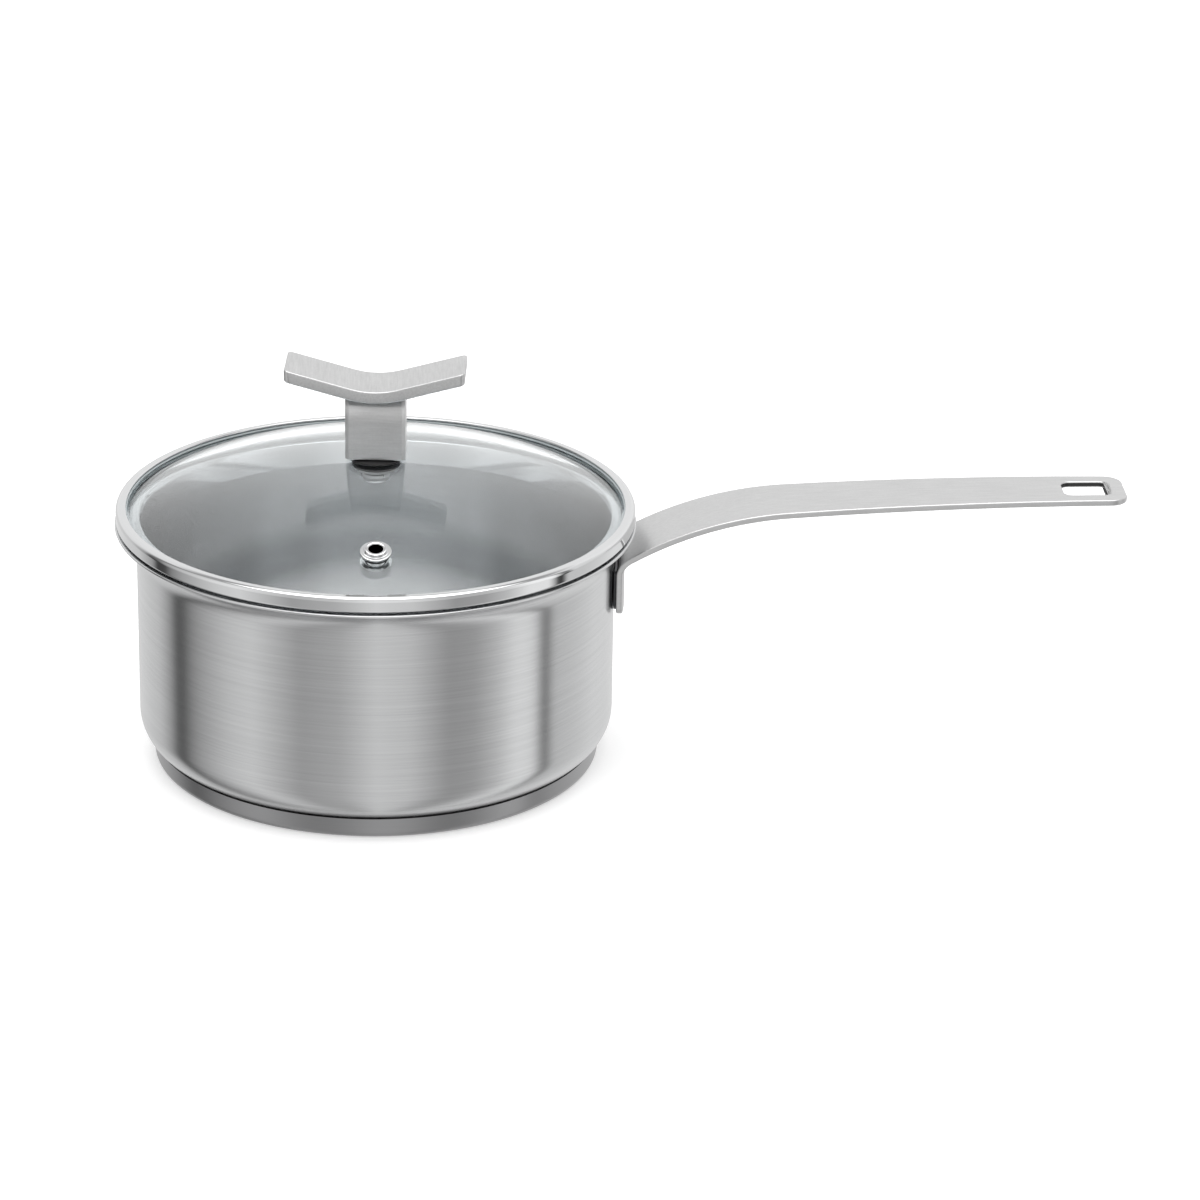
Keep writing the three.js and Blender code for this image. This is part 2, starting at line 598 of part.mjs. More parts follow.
// Split spring washer: a ring with a slot cut through one side.
const lockTop = knobWasherBottom - GAP;
const lockBottom = lockTop - WASHER_THICKNESS;
const lockSlot = toSolid(raised(
  roundedRectangle(LOCK_WASHER_RADIUS, 0, LOCK_WASHER_RADIUS, WASHER_THICKNESS, WASHER_THICKNESS / 4),
  lockBottom - 1,
  lockTop + 1,
));
add('knob_lock_washer', toGeometry(
  toSolid(ring(stackHole - GAP, LOCK_WASHER_RADIUS, lockBottom, lockTop, SMALL_FACETS)).subtract(lockSlot),
), 'satin', knob);

const headTop = lockBottom - GAP;
const headBottom = headTop - SCREW_HEAD_HEIGHT;
const headCrown = SCREW_HEAD_HEIGHT / 2;
const screwTip = stemBottom + SCREW_REACH;
const screwBlank = toSolid(turned([
  [0, headBottom],
  ...arc(SCREW_HEAD_RADIUS - headCrown, headBottom + headCrown, headCrown, -90, 0),
  [SCREW_HEAD_RADIUS, headTop],
  [SCREW_RADIUS, headTop],
  [SCREW_RADIUS, screwTip - SCREW_RADIUS / 3],
  [SCREW_RADIUS * 2 / 3, screwTip],
  [0, screwTip],
], SMALL_FACETS));
const hexRecess = toSolid(turned([
  [0, headBottom - 1],
  [SCREW_RECESS_RADIUS, headBottom - 1],
  [SCREW_RECESS_RADIUS, headBottom + SCREW_RECESS_DEPTH],
  [0, headBottom + SCREW_RECESS_DEPTH],
], 6));
add('knob_screw', toGeometry(screwBlank.subtract(hexRecess)), 'satin', knob);

export default root;
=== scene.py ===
"""A 16 cm stainless saucepan with a domed glass lid: the finished surfaces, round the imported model.

Sizes below are in millimetres and meshes are made in metres. +Z is up, the handle points along +X,
and the lid's steam vent faces -Y.
"""
import math

import bpy
import numpy as np
from mathutils import Matrix, Vector


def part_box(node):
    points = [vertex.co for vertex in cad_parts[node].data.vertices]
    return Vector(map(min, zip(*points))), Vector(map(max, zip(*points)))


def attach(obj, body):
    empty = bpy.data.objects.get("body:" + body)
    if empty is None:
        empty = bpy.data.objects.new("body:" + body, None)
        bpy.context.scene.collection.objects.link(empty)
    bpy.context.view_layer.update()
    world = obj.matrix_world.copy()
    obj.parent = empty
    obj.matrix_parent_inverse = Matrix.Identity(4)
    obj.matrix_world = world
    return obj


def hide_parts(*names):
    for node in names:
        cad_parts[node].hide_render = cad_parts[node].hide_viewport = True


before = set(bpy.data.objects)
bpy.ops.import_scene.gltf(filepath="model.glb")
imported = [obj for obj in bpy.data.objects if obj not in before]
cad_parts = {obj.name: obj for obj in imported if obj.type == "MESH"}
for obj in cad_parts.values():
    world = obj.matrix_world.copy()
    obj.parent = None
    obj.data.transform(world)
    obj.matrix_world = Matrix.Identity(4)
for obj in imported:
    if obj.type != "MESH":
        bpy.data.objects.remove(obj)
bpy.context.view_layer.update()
MM = 0.001


def corners(node):
    """A CAD node's lowest and highest corner, in millimetres."""
    low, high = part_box(node)
    return np.array(low) / MM, np.array(high) / MM


# ---- Sizes, in millimetres ----------------------------------------------------------------------
body_low, _ = corners("pan_body")
_, capsule_high = corners("base_capsule")
handle_low, handle_high = corners("handle")
rim_low, rim_high = corners("lid_rim")
_, glass_high = corners("lid_glass")

WALL = 1.0
WALL_RADIUS = 81.0
CORNER_RADIUS = 12.0
FLARE_RADIUS = 9.0
FLARE_SWEEP = 76.0              # degrees, up to where the rounded lip begins
FLARE_AXIS = WALL_RADIUS + FLARE_RADIUS
FLARE_BASE = 74.584             # height where the straight wall ends
FLOOR_UNDER = body_low[2]
WALL_LEVELS = (18.5, 32.0, 46.0, 60.0, 73.5)
FLOOR_STEPS = (30.0, 66.0)      # radii where the flat floor has a loop of edges
CAPSULE_RADIUS = 76.12
CAPSULE_WALL = 0.6
CAPSULE_HEIGHT = capsule_high[2]
FOOT_RADIUS = 2.6

HANDLE_TIP = handle_high[0]
HANDLE_THICKNESS = 2.1
HANDLE_EDGE = 0.5               # radius of the rubbed-off edges
HANDLE_BEND = 7.0               # radius of the bend above the tab
HANDLE_CLIMB = math.radians(29)
HANDLE_CREST = 126.0
HANDLE_SHALLOW = math.radians(3.7)
HANDLE_ROOT_WIDTH = 30.8
HANDLE_TIP_WIDTH = 23.5
TAB_FACE = 82.4                 # face of the tab that lies on the weld plate
TAB_BOTTOM = handle_low[2]
TAB_LENGTH = 15.0
HOLE_LENGTH = 16.0
HOLE_WIDTH = 12.5
HOLE_CORNER = 3.0
HOLE_MARGIN = 5.2
PLATE_WIDTH = 26.0

RIM_RADIUS = rim_high[1]
RIM_TOP = rim_high[2]
RIM_SHEET = 0.6
LIP_WIDTH = 3.5
LIP_RADIUS = RIM_RADIUS - LIP_WIDTH
BAND_INSIDE = RIM_RADIUS - RIM_SHEET
SKIRT_OUTSIDE = 79.0
SKIRT_INSIDE = SKIRT_OUTSIDE - RIM_SHEET
SKIRT_BOTTOM = rim_low[2]
SKIRT_DEPTH = 8.0
SKIRT_TAPER = 1.6               # how far in the skirt leans towards its lower edge
FLANGE_UNDER = SKIRT_BOTTOM + SKIRT_DEPTH

GLASS_CROWN = glass_high[2]
GLASS_THICKNESS = 3.6
DOME_RISE = 17.5
GLASS_RIM_TOP = GLASS_CROWN - DOME_RISE
GLASS_EDGE = 86.2
KNOB_HOLE = 3.1                 # radii of the holes ground in the glass
VENT_HOLE = 3.4
DOME_RADIUS = 209.85
DOME_CENTRE = GLASS_CROWN - DOME_RADIUS
VENT_OFFSET = 64.48

KNOB_TURN = math.radians(-3.3)
GRIP_SPAN = 60.4
GRIP_DEPTH = 21.0
GRIP_THICKNESS = 4.0
GRIP_WING = math.radians(15.3)
GRIP_BEND = 30.0
STEM_WIDTH = 20.2
STEM_DEPTH = 12.0
STEM_BEVEL = 1.2
STEM_GAP = 0.2                  # between the stem's top and the bar
STEM_HEIGHT = 21.8              # up to the bar's underside in the middle
STEM_BOTTOM = GLASS_CROWN + 1.1
GRIP_UNDER = STEM_BOTTOM + STEM_HEIGHT

KNOB_DISC_HOLE = 2.9

ROUND = 256                     # facets round the large turned pieces
SMALL_ROUND = 96
EVEN_STEPS = 4000               # points along an outline whose reach is measured
PATH_STEPS = 6000               # steps along the handle


# ---- Surfaces -----------------------------------------------------------------------------------
def arc(centre, radius, start, end, steps=10):
    """Points centre + radius * (cos a, sin a), for a from start to end in degrees."""
    a = np.radians(np.linspace(start, end, steps + 1))
    return np.stack([centre[0] + radius * np.cos(a), centre[1] + radius * np.sin(a)], 1)


def softened(points, radius, steps=5, hold=0.07, closed=True):
    """The outline with its corners rounded: each corner is replaced by the quadratic curve
    (1-t)^2 A + 2t(1-t) B + t^2 C, where A and C lie at the given distance from the corner B. A point
    a share hold before A and after C holds the flat face flat. radius is one number or one per
    corner, and takes up less than half of the shorter side."""
    p = np.asarray(points, float)
    reach = np.broadcast_to(np.asarray(radius, float), len(p)).copy()
    before, after = np.roll(p, 1, 0) - p, np.roll(p, -1, 0) - p
    back, ahead = np.linalg.norm(before, axis=1), np.linalg.norm(after, axis=1)
    reach = np.minimum(reach, 0.45 * np.minimum(back, ahead))
    if not closed:
        reach[[0, -1]] = 0
    t = np.linspace(0, 1, steps + 1)[None, :, None]
    a = (p + before / back[:, None] * reach[:, None])[:, None]
    c = (p + after / ahead[:, None] * reach[:, None])[:, None]
    curve = (1 - t) ** 2 * a + 2 * t * (1 - t) * p[:, None] + t ** 2 * c
    first = a + (a - p[:, None]) * hold
    last = c + (c - p[:, None]) * hold
    loops = np.concatenate([first, curve, last], 1)
    return np.concatenate([p[i:i + 1] if reach[i] == 0 else loops[i] for i in range(len(p))])


def cells(index):
    """The four corners of each cell in a grid of vertex numbers, as rows x columns x 4."""
    return np.stack([index[:-1, :-1], index[1:, :-1], index[1:, 1:], index[:-1, 1:]], -1)


def looped(index):
    """A grid of vertex numbers with its first column repeated at the end."""
    return np.hstack([index, index[:, :1]])


def grid_edge(rows, columns):
    """Vertex numbers round a grid's edge, with the sheet on the left."""
    index = np.arange(rows * columns).reshape(rows, columns)
    return np.concatenate([
        index[:-1, 0], index[-1, :-1], index[:0:-1, -1], index[0, :0:-1],
    ])


def grid_quads(rows, columns):
    """The four-sided faces of a whole grid, one per row."""
    return cells(np.arange(rows * columns).reshape(rows, columns)).reshape(-1, 4)


def mesh_piece(name, points, faces, place=None):
    """A mesh object from points in millimetres and rows of face corners, shaded smooth. place is a
    matrix in millimetres that turns and moves the points before they are stored."""
    p = np.asarray(points, float).reshape(-1, 3)
    if place is not None:
        m = np.array(place)
        p = p @ m[:3, :3].T + m[:3, 3]
    mesh = bpy.data.meshes.new(name)
    mesh.from_pydata((p * MM).tolist(), [], faces)
    mesh.validate()
    mesh.polygons.foreach_set("use_smooth", np.ones(len(mesh.polygons), bool))
    mesh.update()
    piece = bpy.data.objects.new(name, mesh)
    bpy.context.scene.collection.objects.link(piece)
    return piece


def lofted(name, rings, levels_closed=False, place=None):
    """A surface through closed rings, an array of levels x points x 3. Neighbouring levels are joined
    by four-sided faces. A level whose points all meet becomes one point with triangles round it."""
    r = np.asarray(rings, float)
    m, n = r.shape[:2]
    index = np.arange(m * n).reshape(m, n)
    spread = np.abs(r - r[:, :1]).max((1, 2))
    index[spread < 1e-6] = index[spread < 1e-6][:, :1]
    rows = looped(np.vstack([index, index[:1]]) if levels_closed else index)
    quads = cells(rows)[..., [0, 3, 2, 1]].reshape(-1, 4)
    thin_low = quads[:, 0] == quads[:, 1]
    thin_high = quads[:, 2] == quads[:, 3]
    whole = quads[~(thin_low | thin_high)]
    thirds = np.concatenate([
        quads[thin_low & ~thin_high][:, [0, 2, 3]], quads[thin_high & ~thin_low][:, [0, 1, 2]],
    ])
    used, compact = np.unique(np.concatenate([whole.ravel(), thirds.ravel()]), return_inverse=True)
    faces = compact[:whole.size].reshape(-1, 4).tolist()
    faces += compact[whole.size:].reshape(-1, 3).tolist()
    return mesh_piece(name, r.reshape(-1, 3)[used], faces, place)


def turned(name, profile, steps=ROUND, closed=False, place=None):
    """A profile of (radius, height) carried round Z: (r cos a, r sin a, z) for a full turn of a. It
    runs with the axis on its left, from the axis to the axis, or right round a ring's section."""
    p = np.asarray(profile, float)
    a = np.linspace(0, 2 * np.pi, steps, endpoint=False)
    rings = np.stack([
        np.outer(p[:, 0], np.cos(a)),
        np.outer(p[:, 0], np.sin(a)),
        np.repeat(p[:, 1:], steps, 1),
    ], -1)
    return lofted(name, rings, levels_closed=closed, place=place)


def outline_reach(outline, angles):
    """Distance from the middle to a closed outline in each direction. The outline is first cut
    into short even steps, and the distance is read between them."""
    loop = np.vstack([outline, outline[:1]])
    run = np.concatenate([[0], np.cumsum(np.linalg.norm(np.diff(loop, axis=0), axis=1))])
    even = np.linspace(0, run[-1], EVEN_STEPS)
    x, y = np.interp(even, run, loop[:, 0]), np.interp(even, run, loop[:, 1])
    return np.interp(angles, np.arctan2(y, x), np.hypot(x, y), period=2 * np.pi)


def holed_sheet(grid, hole, outline, block, wrap=False, rings=8, crowding=1.3):
    """A flat sheet from a grid of plan points, rows x columns x 2, with a hole. The block of rows
    and columns round the hole is taken out, and filled by loops that run straight from the hole's
    outline to the block's edge, closer together near the hole. Gives the points, the faces and the
    vertex numbers of the hole's loop."""
    m, n = grid.shape[:2]
    index = np.arange(m * n).reshape(m, n)
    r0, r1, c0, c1 = block
    quads = cells(looped(index) if wrap else index)
    keep = np.ones(quads.shape[:2], bool)
    keep[r0:r1, c0:c1] = False
    edge = np.concatenate([
        index[r0:r1, c0], index[r1, c0:c1], index[r1:r0:-1, c1], index[r0, c1:c0:-1],
    ])
    outer = grid.reshape(-1, 2)[edge]
    away = outer - hole
    angles = np.arctan2(away[:, 1], away[:, 0])
    reach = outline_reach(outline, angles)
    inner = hole + reach[:, None] * np.stack([np.cos(angles), np.sin(angles)], 1)
    share = (np.linspace(0, 1, rings + 1)[:-1] ** crowding)[:, None, None]
    loops = inner + share * (outer - inner)
    k = len(edge)
    loop_index = np.vstack([m * n + np.arange(rings * k).reshape(rings, k), edge])
    fill = cells(looped(loop_index)).reshape(-1, 4)
    points = np.concatenate([grid.reshape(-1, 2), loops.reshape(-1, 2)])
    return points, np.concatenate([quads[keep], fill]), loop_index[0]


def mark_hole_wall_shade(piece, values):
    """Stores the vertex attribute that marks a hole's wall for painted shade."""
    mark = piece.data.attributes.new("hole_wall_shade", "FLOAT", "POINT")
    mark.data.foreach_set("value", values)


def plate(name, points, quads, loops, upper, under, thickness, edge, place=None, steps=6):
    """A plate of even thickness with rounded edges. Every plan point has a place on the upper face
    and one on the under face, and stands at upper + (under - upper) * depth / thickness. Along each
    edge loop a half-round edge is carried: out by edge * sin t, down by edge * (1 - cos t). The vertex
    attribute for painted shade is 1 on the walls of the later loops, which are holes."""
    def at(plan, depth):
        top, bottom = upper(plan), under(plan)
        return top + (bottom - top) * (np.asarray(depth) / thickness)[..., None]

    count = len(points)
    parts = [at(points, np.zeros(count)), at(points, np.full(count, thickness))]
    faces = [quads, quads[:, ::-1] + count]
    total = 2 * count
    hole_wall_shade = [np.zeros(total)]
    t = np.radians(np.linspace(0, 90, steps + 1)[1:])
    out = np.concatenate([edge * np.sin(t), edge * np.sin(t[::-1])])
    down = np.concatenate([edge * (1 - np.cos(t)), thickness - edge * (1 - np.cos(t[::-1]))])
    for turn, loop in enumerate(loops):
        p = points[loop]
        ahead = np.roll(p, -1, 0) - np.roll(p, 1, 0)
        ahead /= np.linalg.norm(ahead, axis=1)[:, None]
        side = np.stack([ahead[:, 1], -ahead[:, 0]], 1)
        rings = [at(p + side * o, np.full(len(p), d)) for o, d in zip(out, down)]
        parts += rings
        index = total + np.arange(len(rings) * len(p)).reshape(len(rings), len(p))
        index = looped(np.vstack([loop, index, loop + count]))
        faces.append(cells(index).reshape(-1, 4))
        wall = np.repeat((down > edge * 0.9) & (down < thickness - edge * 0.9), len(p))
        hole_wall_shade.append(wall * float(turn > 0))
        total += len(rings) * len(p)
    piece = mesh_piece(name, np.concatenate(parts), np.concatenate(faces).tolist(), place)
    mark_hole_wall_shade(piece, np.concatenate(hole_wall_shade))
    return piece


def rounded_rectangle(width, height, corner, steps=12):
    """Outline of a rectangle about the middle with round corners, counter-clockwise."""
    x, y = width / 2 - corner, height / 2 - corner
    return np.concatenate([
        arc((x, y), corner, 0, 90, steps), arc((-x, y), corner, 90, 180, steps),
        arc((-x, -y), corner, 180, 270, steps), arc((x, -y), corner, 270, 360, steps),
    ])


def strip_grid(along, half_width, across):
    """Plan points of a strip: rows at each place along it, from -half_width to +half_width."""
    s = np.repeat(along[:, None], len(across), 1)
    return np.stack([s, half_width[:, None] * across[None]], -1)


# ---- Pan body and base --------------------------------------------------------------------------
def make_pan_body():
    """Floor, rounded corner, wall and outward flare as one turned wall, with a half-round lip."""
    centre = (WALL_RADIUS - CORNER_RADIUS, FLOOR_UNDER + CORNER_RADIUS)
    flare = (FLARE_AXIS, FLARE_BASE)
    lip_angle = 180 - FLARE_SWEEP
    middle = FLARE_RADIUS + WALL / 2
    lip = (FLARE_AXIS + middle * math.cos(math.radians(lip_angle)),
           FLARE_BASE + middle * math.sin(math.radians(lip_angle)))
    inside = WALL_RADIUS - WALL
    floor_radii = (0, *FLOOR_STEPS)
    profile = np.concatenate([
        [[r, FLOOR_UNDER] for r in floor_radii],
        arc(centre, CORNER_RADIUS, -90, 0, 18),
        [[WALL_RADIUS, z] for z in WALL_LEVELS],
        arc(flare, FLARE_RADIUS, 180, lip_angle, 20),
        arc(lip, WALL / 2, lip_angle - 180, lip_angle, 8)[1:-1],
        arc(flare, FLARE_RADIUS + WALL, lip_angle, 180, 20),
        [[inside, z] for z in reversed(WALL_LEVELS)],
        arc(centre, CORNER_RADIUS - WALL, 0, -90, 18),
        [[r, FLOOR_UNDER + WALL] for r in reversed(floor_radii)],
    ])
    return turned("pan_body_brushed", profile)


def make_capsule():
    """The cup round the base: flat underside, rounded foot, short wall with a softened mouth."""
    outside = CAPSULE_RADIUS
    inside = outside - CAPSULE_WALL
    lip, lip_width, flare_depth = CAPSULE_HEIGHT - 0.15, 0.25, 1.6
    foot = (outside - FOOT_RADIUS, FOOT_RADIUS)
    mouth = softened([
        [outside, FOOT_RADIUS], [outside, lip], [outside - lip_width, lip],
        [inside, CAPSULE_HEIGHT - flare_depth], [inside, FOOT_RADIUS],
    ], 0.12, closed=False)
    profile = np.concatenate([
        [[0, 0], [FLOOR_STEPS[0], 0], [foot[0] - 2, 0]],
        arc(foot, FOOT_RADIUS, -90, 0, 14)[:-1],
        mouth[:-1],
        arc(foot, FOOT_RADIUS - CAPSULE_WALL, 0, -90, 14),
        [[FLOOR_STEPS[0], CAPSULE_WALL], [0, CAPSULE_WALL]],
    ])
    return turned("base_capsule_satin", profile)


# ---- Handle -------------------------------------------------------------------------------------
def handle_path():
    """The upper face's run from the tab's lower edge to the tip: length along it, X, Z and the
    direction in radians. It goes up the tab, through a tight bend to 29 degrees, over a wide crest
    to 3.7 degrees, and along a long arch that ends level at the tip."""
    up, climb, shallow = math.pi / 2, HANDLE_CLIMB, HANDLE_SHALLOW
    straight = 0.5
    bend_end = TAB_FACE + HANDLE_BEND * (1 - math.sin(climb)) + straight * math.cos(climb)
    crest_end = bend_end + HANDLE_CREST * (math.sin(climb) - math.sin(shallow))
    arch = (HANDLE_TIP - crest_end) / math.sin(shallow)
    lengths = np.array([TAB_LENGTH, HANDLE_BEND * (up - climb), straight,
                        HANDLE_CREST * (climb - shallow), arch * shallow])
    knots = np.concatenate([[0], np.cumsum(lengths)])
    turns = np.array([up, up, climb, climb, shallow, 0.0])
    s = np.linspace(0, knots[-1], PATH_STEPS + 1)
    angle = np.interp(s, knots, turns)
    ds = s[1] - s[0]
    middle = (angle[1:] + angle[:-1]) / 2
    x = TAB_FACE + np.concatenate([[0], np.cumsum(np.cos(middle) * ds)])
    z = TAB_BOTTOM + np.concatenate([[0], np.cumsum(np.sin(middle) * ds)])
    return s, x, z, angle


def make_handle():
    """A flat blank with a tapering width, round corners and a hanging hole, folded along the path.
    The tab's part is also curved like the wall, by a sagitta that fades out through the bend."""
    s, x, z, angle = handle_path()
    end, edge = s[-1], HANDLE_EDGE
    tab_corner, tip_corner = 3.0, 6.0
    before_hole, after_hole, side_columns = 3.0, 1.4, 4
    root, tip = HANDLE_ROOT_WIDTH / 2, HANDLE_TIP_WIDTH / 2

    def half_width(along):
        share = np.clip((np.interp(along, s, x) - TAB_FACE) / (HANDLE_TIP - TAB_FACE), 0, 1)
        return root + (tip - root) * share

    q = np.radians(np.linspace(8, 90, 12))
    tab_rows = edge + (tab_corner - edge) * (1 - np.cos(q))
    tab_inset = tab_corner - (tab_corner - edge) * np.sin(q)
    tip_rows = end - edge - (tip_corner - edge) * (1 - np.cos(q[::-1]))
    tip_inset = tip_corner - (tip_corner - edge) * np.sin(q[::-1])
    hole_at = end - HOLE_MARGIN - HOLE_LENGTH / 2
    block_ends = (hole_at - HOLE_LENGTH / 2 - before_hole, hole_at + HOLE_LENGTH / 2 + after_hole)
    tab_end = TAB_LENGTH
    bend_end = tab_end + HANDLE_BEND * (math.pi / 2 - HANDLE_CLIMB)
    body_rows = np.concatenate([
        np.linspace(tab_corner, tab_end, 9)[1:-1],
        np.linspace(tab_end, bend_end, 19)[:-1],
        np.linspace(bend_end, block_ends[0], 90)[:-1],
        np.linspace(block_ends[0], min(block_ends[1], tip_rows[0] - 0.6), 44),
    ])
    along = np.concatenate([tab_rows, body_rows, tip_rows])
    inset = np.concatenate([tab_inset, np.full(len(body_rows), edge), tip_inset])
    columns = 41
    even = np.linspace(-1, 1, columns)
    across = np.sign(even) * (1 - (1 - np.abs(even)) ** 1.25)
    grid = strip_grid(along, half_width(along) - inset, across)
    r0 = int(np.searchsorted(along, block_ends[0] - 1e-6))
    r1 = len(tab_rows) + len(body_rows) - 1
    hole = rounded_rectangle(HOLE_LENGTH + 2 * edge, HOLE_WIDTH + 2 * edge, HOLE_CORNER + edge)
    block = (r0, r1, side_columns, columns - 1 - side_columns)
    points, quads, hole_loop = holed_sheet(grid, np.array([hole_at, 0.0]), hole, block)
    rim = grid_edge(*grid.shape[:2])

    def face(plan, depth):
        t = np.clip(plan[:, 0], -edge, end + edge)
        a = np.interp(t, s, angle)
        px = np.interp(t, s, x) + np.minimum(t, 0) * np.cos(a) + np.maximum(t - end, 0)
        pz = np.interp(t, s, z) + np.minimum(t, 0)
        curl = np.clip((bend_end - t) / (bend_end - tab_end), 0, 1)
        sagitta = TAB_FACE - np.sqrt(TAB_FACE ** 2 - plan[:, 1] ** 2)
        return np.stack([
            px + depth * np.sin(a) - curl * sagitta, plan[:, 1], pz - depth * np.cos(a),
        ], 1)

    return plate("handle_strip", points, quads, [rim, hole_loop[::-1]],
                 lambda p: face(p, 0.0), lambda p: face(p, HANDLE_THICKNESS),
                 HANDLE_THICKNESS, edge)


def make_weld_plate():
    """A flat plate with round lower corners, rolled to the wall: plan (u, v) stands at
    (r cos(u / r), r sin(u / r), v), r being the outer radius on the upper face."""
    outer, inner, edge, corner = 82.2, 81.2, 0.25, 5.0
    low, high = (c[2] for c in corners("handle_weld_plate"))
    q = np.radians(np.linspace(6, 90, 14))
    rows = np.concatenate([
        low + edge + (corner - edge) * (1 - np.cos(q)), np.linspace(low + corner, high - edge, 8)[1:],
    ])
    inset = np.concatenate([corner - (corner - edge) * np.sin(q), np.full(7, edge)])
    grid = strip_grid(rows, PLATE_WIDTH / 2 - inset, np.linspace(-1, 1, 25))[..., ::-1]

    def rolled(radius):
        def place(plan):
            a = np.arcsin(plan[:, 0] / outer)
            return np.stack([radius * np.cos(a), radius * np.sin(a), plan[:, 1]], 1)
        return place

    quads = grid_quads(*grid.shape[:2])[:, ::-1]
    # The plate's near black colour is painted shade, set in its material.
    return plate("weld_plate_painted_shade", grid.reshape(-1, 2), quads, [grid_edge(*grid.shape[:2])[::-1]],
                 rolled(outer), rolled(inner), outer - inner, edge)


# ---- Lid rim, seal and glass --------------------------------------------------------------------
def make_lid_rim():
    """The pressed channel: skirt, flange, outer band, rounded crown and rolled lip, turned."""
    flange_top = FLANGE_UNDER + RIM_SHEET
    flange_outer = RIM_RADIUS - 1.8
    band_bottom = FLANGE_UNDER + 1.2
    lip_under = RIM_TOP - 0.8
    crown = 1.5
    shoulder = 0.29 * crown     # how far the crown's middle corner is drawn in
    section = [
        ([SKIRT_INSIDE - SKIRT_TAPER, SKIRT_BOTTOM], 0.25),
        ([SKIRT_OUTSIDE - SKIRT_TAPER, SKIRT_BOTTOM], 0.25),
        ([SKIRT_OUTSIDE, FLANGE_UNDER - 0.6], 0.4), ([SKIRT_OUTSIDE + 0.6, FLANGE_UNDER], 0.4),
        ([flange_outer, FLANGE_UNDER], 0.5), ([BAND_INSIDE, band_bottom - 0.3], 0.4),
        ([RIM_RADIUS, band_bottom + 0.3], 0.5), ([RIM_RADIUS, RIM_TOP - crown], 0.2),
        ([RIM_RADIUS - shoulder, RIM_TOP - shoulder], 0.7),
        ([RIM_RADIUS - crown, RIM_TOP], 0.3),
        ([LIP_RADIUS + 0.25, RIM_TOP], 0.3), ([LIP_RADIUS, RIM_TOP - 0.3], 0.3),
        ([LIP_RADIUS, lip_under + 0.25], 0.3), ([LIP_RADIUS + 0.3, lip_under], 0.2),
        ([BAND_INSIDE, lip_under], 0.2), ([BAND_INSIDE, band_bottom + 0.6], 0.3),
        ([flange_outer - 0.3, flange_top], 0.4), ([SKIRT_OUTSIDE, flange_top], 0.4),
        ([SKIRT_INSIDE, flange_top - 1.2], 0.4),
    ]
    outline = softened([p for p, _ in section], [r for _, r in section])
    return turned("lid_rim_polished", outline, closed=True)


def make_lid_seal():
    """The seal's upright leg and its top leg, which shows as a bead just inside the rim's lip."""
    outside, leg = BAND_INSIDE - 0.2, 0.6
    top, foot = RIM_TOP - 1.0, FLANGE_UNDER + 2.0
    bead = LIP_RADIUS - 0.4
    outline = softened([
        [outside - leg, foot], [outside, foot], [outside, top],
        [bead, top], [bead, top - leg], [outside - leg, top - leg],
    ], [0.15, 0.15, 0.15, 0.26, 0.26, 0.15])
    return turned("lid_rim_seal_bead", outline, closed=True)


def make_glass():
    """Two concentric dome faces, z = centre + sqrt(R^2 - r^2), that run out on a flat land in the
    channel, with ground holes for the knob's screw and for the vent."""
    inner_ratio = (DOME_RADIUS - GLASS_THICKNESS) / DOME_RADIUS
    edge = 0.4
    vent_angle, spread = 1.5 * np.pi, math.radians(8.0)
    near_columns, vent_reach = 15, 7.5
    wide = np.linspace(vent_angle + spread, vent_angle + 2 * np.pi - spread, 217)[1:]
    near = np.linspace(vent_angle - spread, vent_angle + spread, near_columns)
    angles = np.concatenate([near, wide[:-1]])
    radii = np.concatenate([
        [KNOB_HOLE + edge], np.linspace(5, 55, 24), np.linspace(55, 74, 16)[1:],
        np.linspace(74, GLASS_EDGE - edge, 12)[1:],
    ])
    grid = np.stack([np.outer(radii, np.cos(angles)), np.outer(radii, np.sin(angles))], -1)
    vent = np.array([0.0, -VENT_OFFSET])
    r0, r1 = np.searchsorted(radii, [VENT_OFFSET - vent_reach, VENT_OFFSET + vent_reach])
    circle = arc((0, 0), VENT_HOLE + edge, 0, 360, 90)[:-1]
    points, quads, hole_loop = holed_sheet(grid, vent, circle, (r0, r1, 0, near_columns - 1), wrap=True)
    n = len(angles)
    knob_loop = np.arange(n)
    rim_loop = (len(radii) - 1) * n + np.arange(n)

    def face(ratio, land):
        def place(plan):
            z = DOME_CENTRE + ratio * np.sqrt(DOME_RADIUS ** 2 - (plan ** 2).sum(1))
            return np.column_stack([plan * ratio, np.maximum(z, land)])
        return place

    return plate("lid_glass_dome", points, quads, [rim_loop, knob_loop[::-1], hole_loop[::-1]],
                 face(1.0, GLASS_RIM_TOP), face(inner_ratio, GLASS_RIM_TOP - GLASS_THICKNESS),
                 GLASS_THICKNESS, edge)


# ---- Steam vent ---------------------------------------------------------------------------------
VENT_TILT = math.asin(VENT_OFFSET / DOME_RADIUS)
VENT_PLACE = (Matrix.Translation((0, -VENT_OFFSET, DOME_CENTRE + DOME_RADIUS * math.cos(VENT_TILT)))
              @ Matrix.Rotation(VENT_TILT, 4, "X"))


def vent_ring(name, section, softness):
    """A ring of the vent, turned in the vent's own frame, where z = 0 is the glass's upper face."""
    return turned(name, softened(section, softness), steps=SMALL_ROUND, closed=True, place=VENT_PLACE)


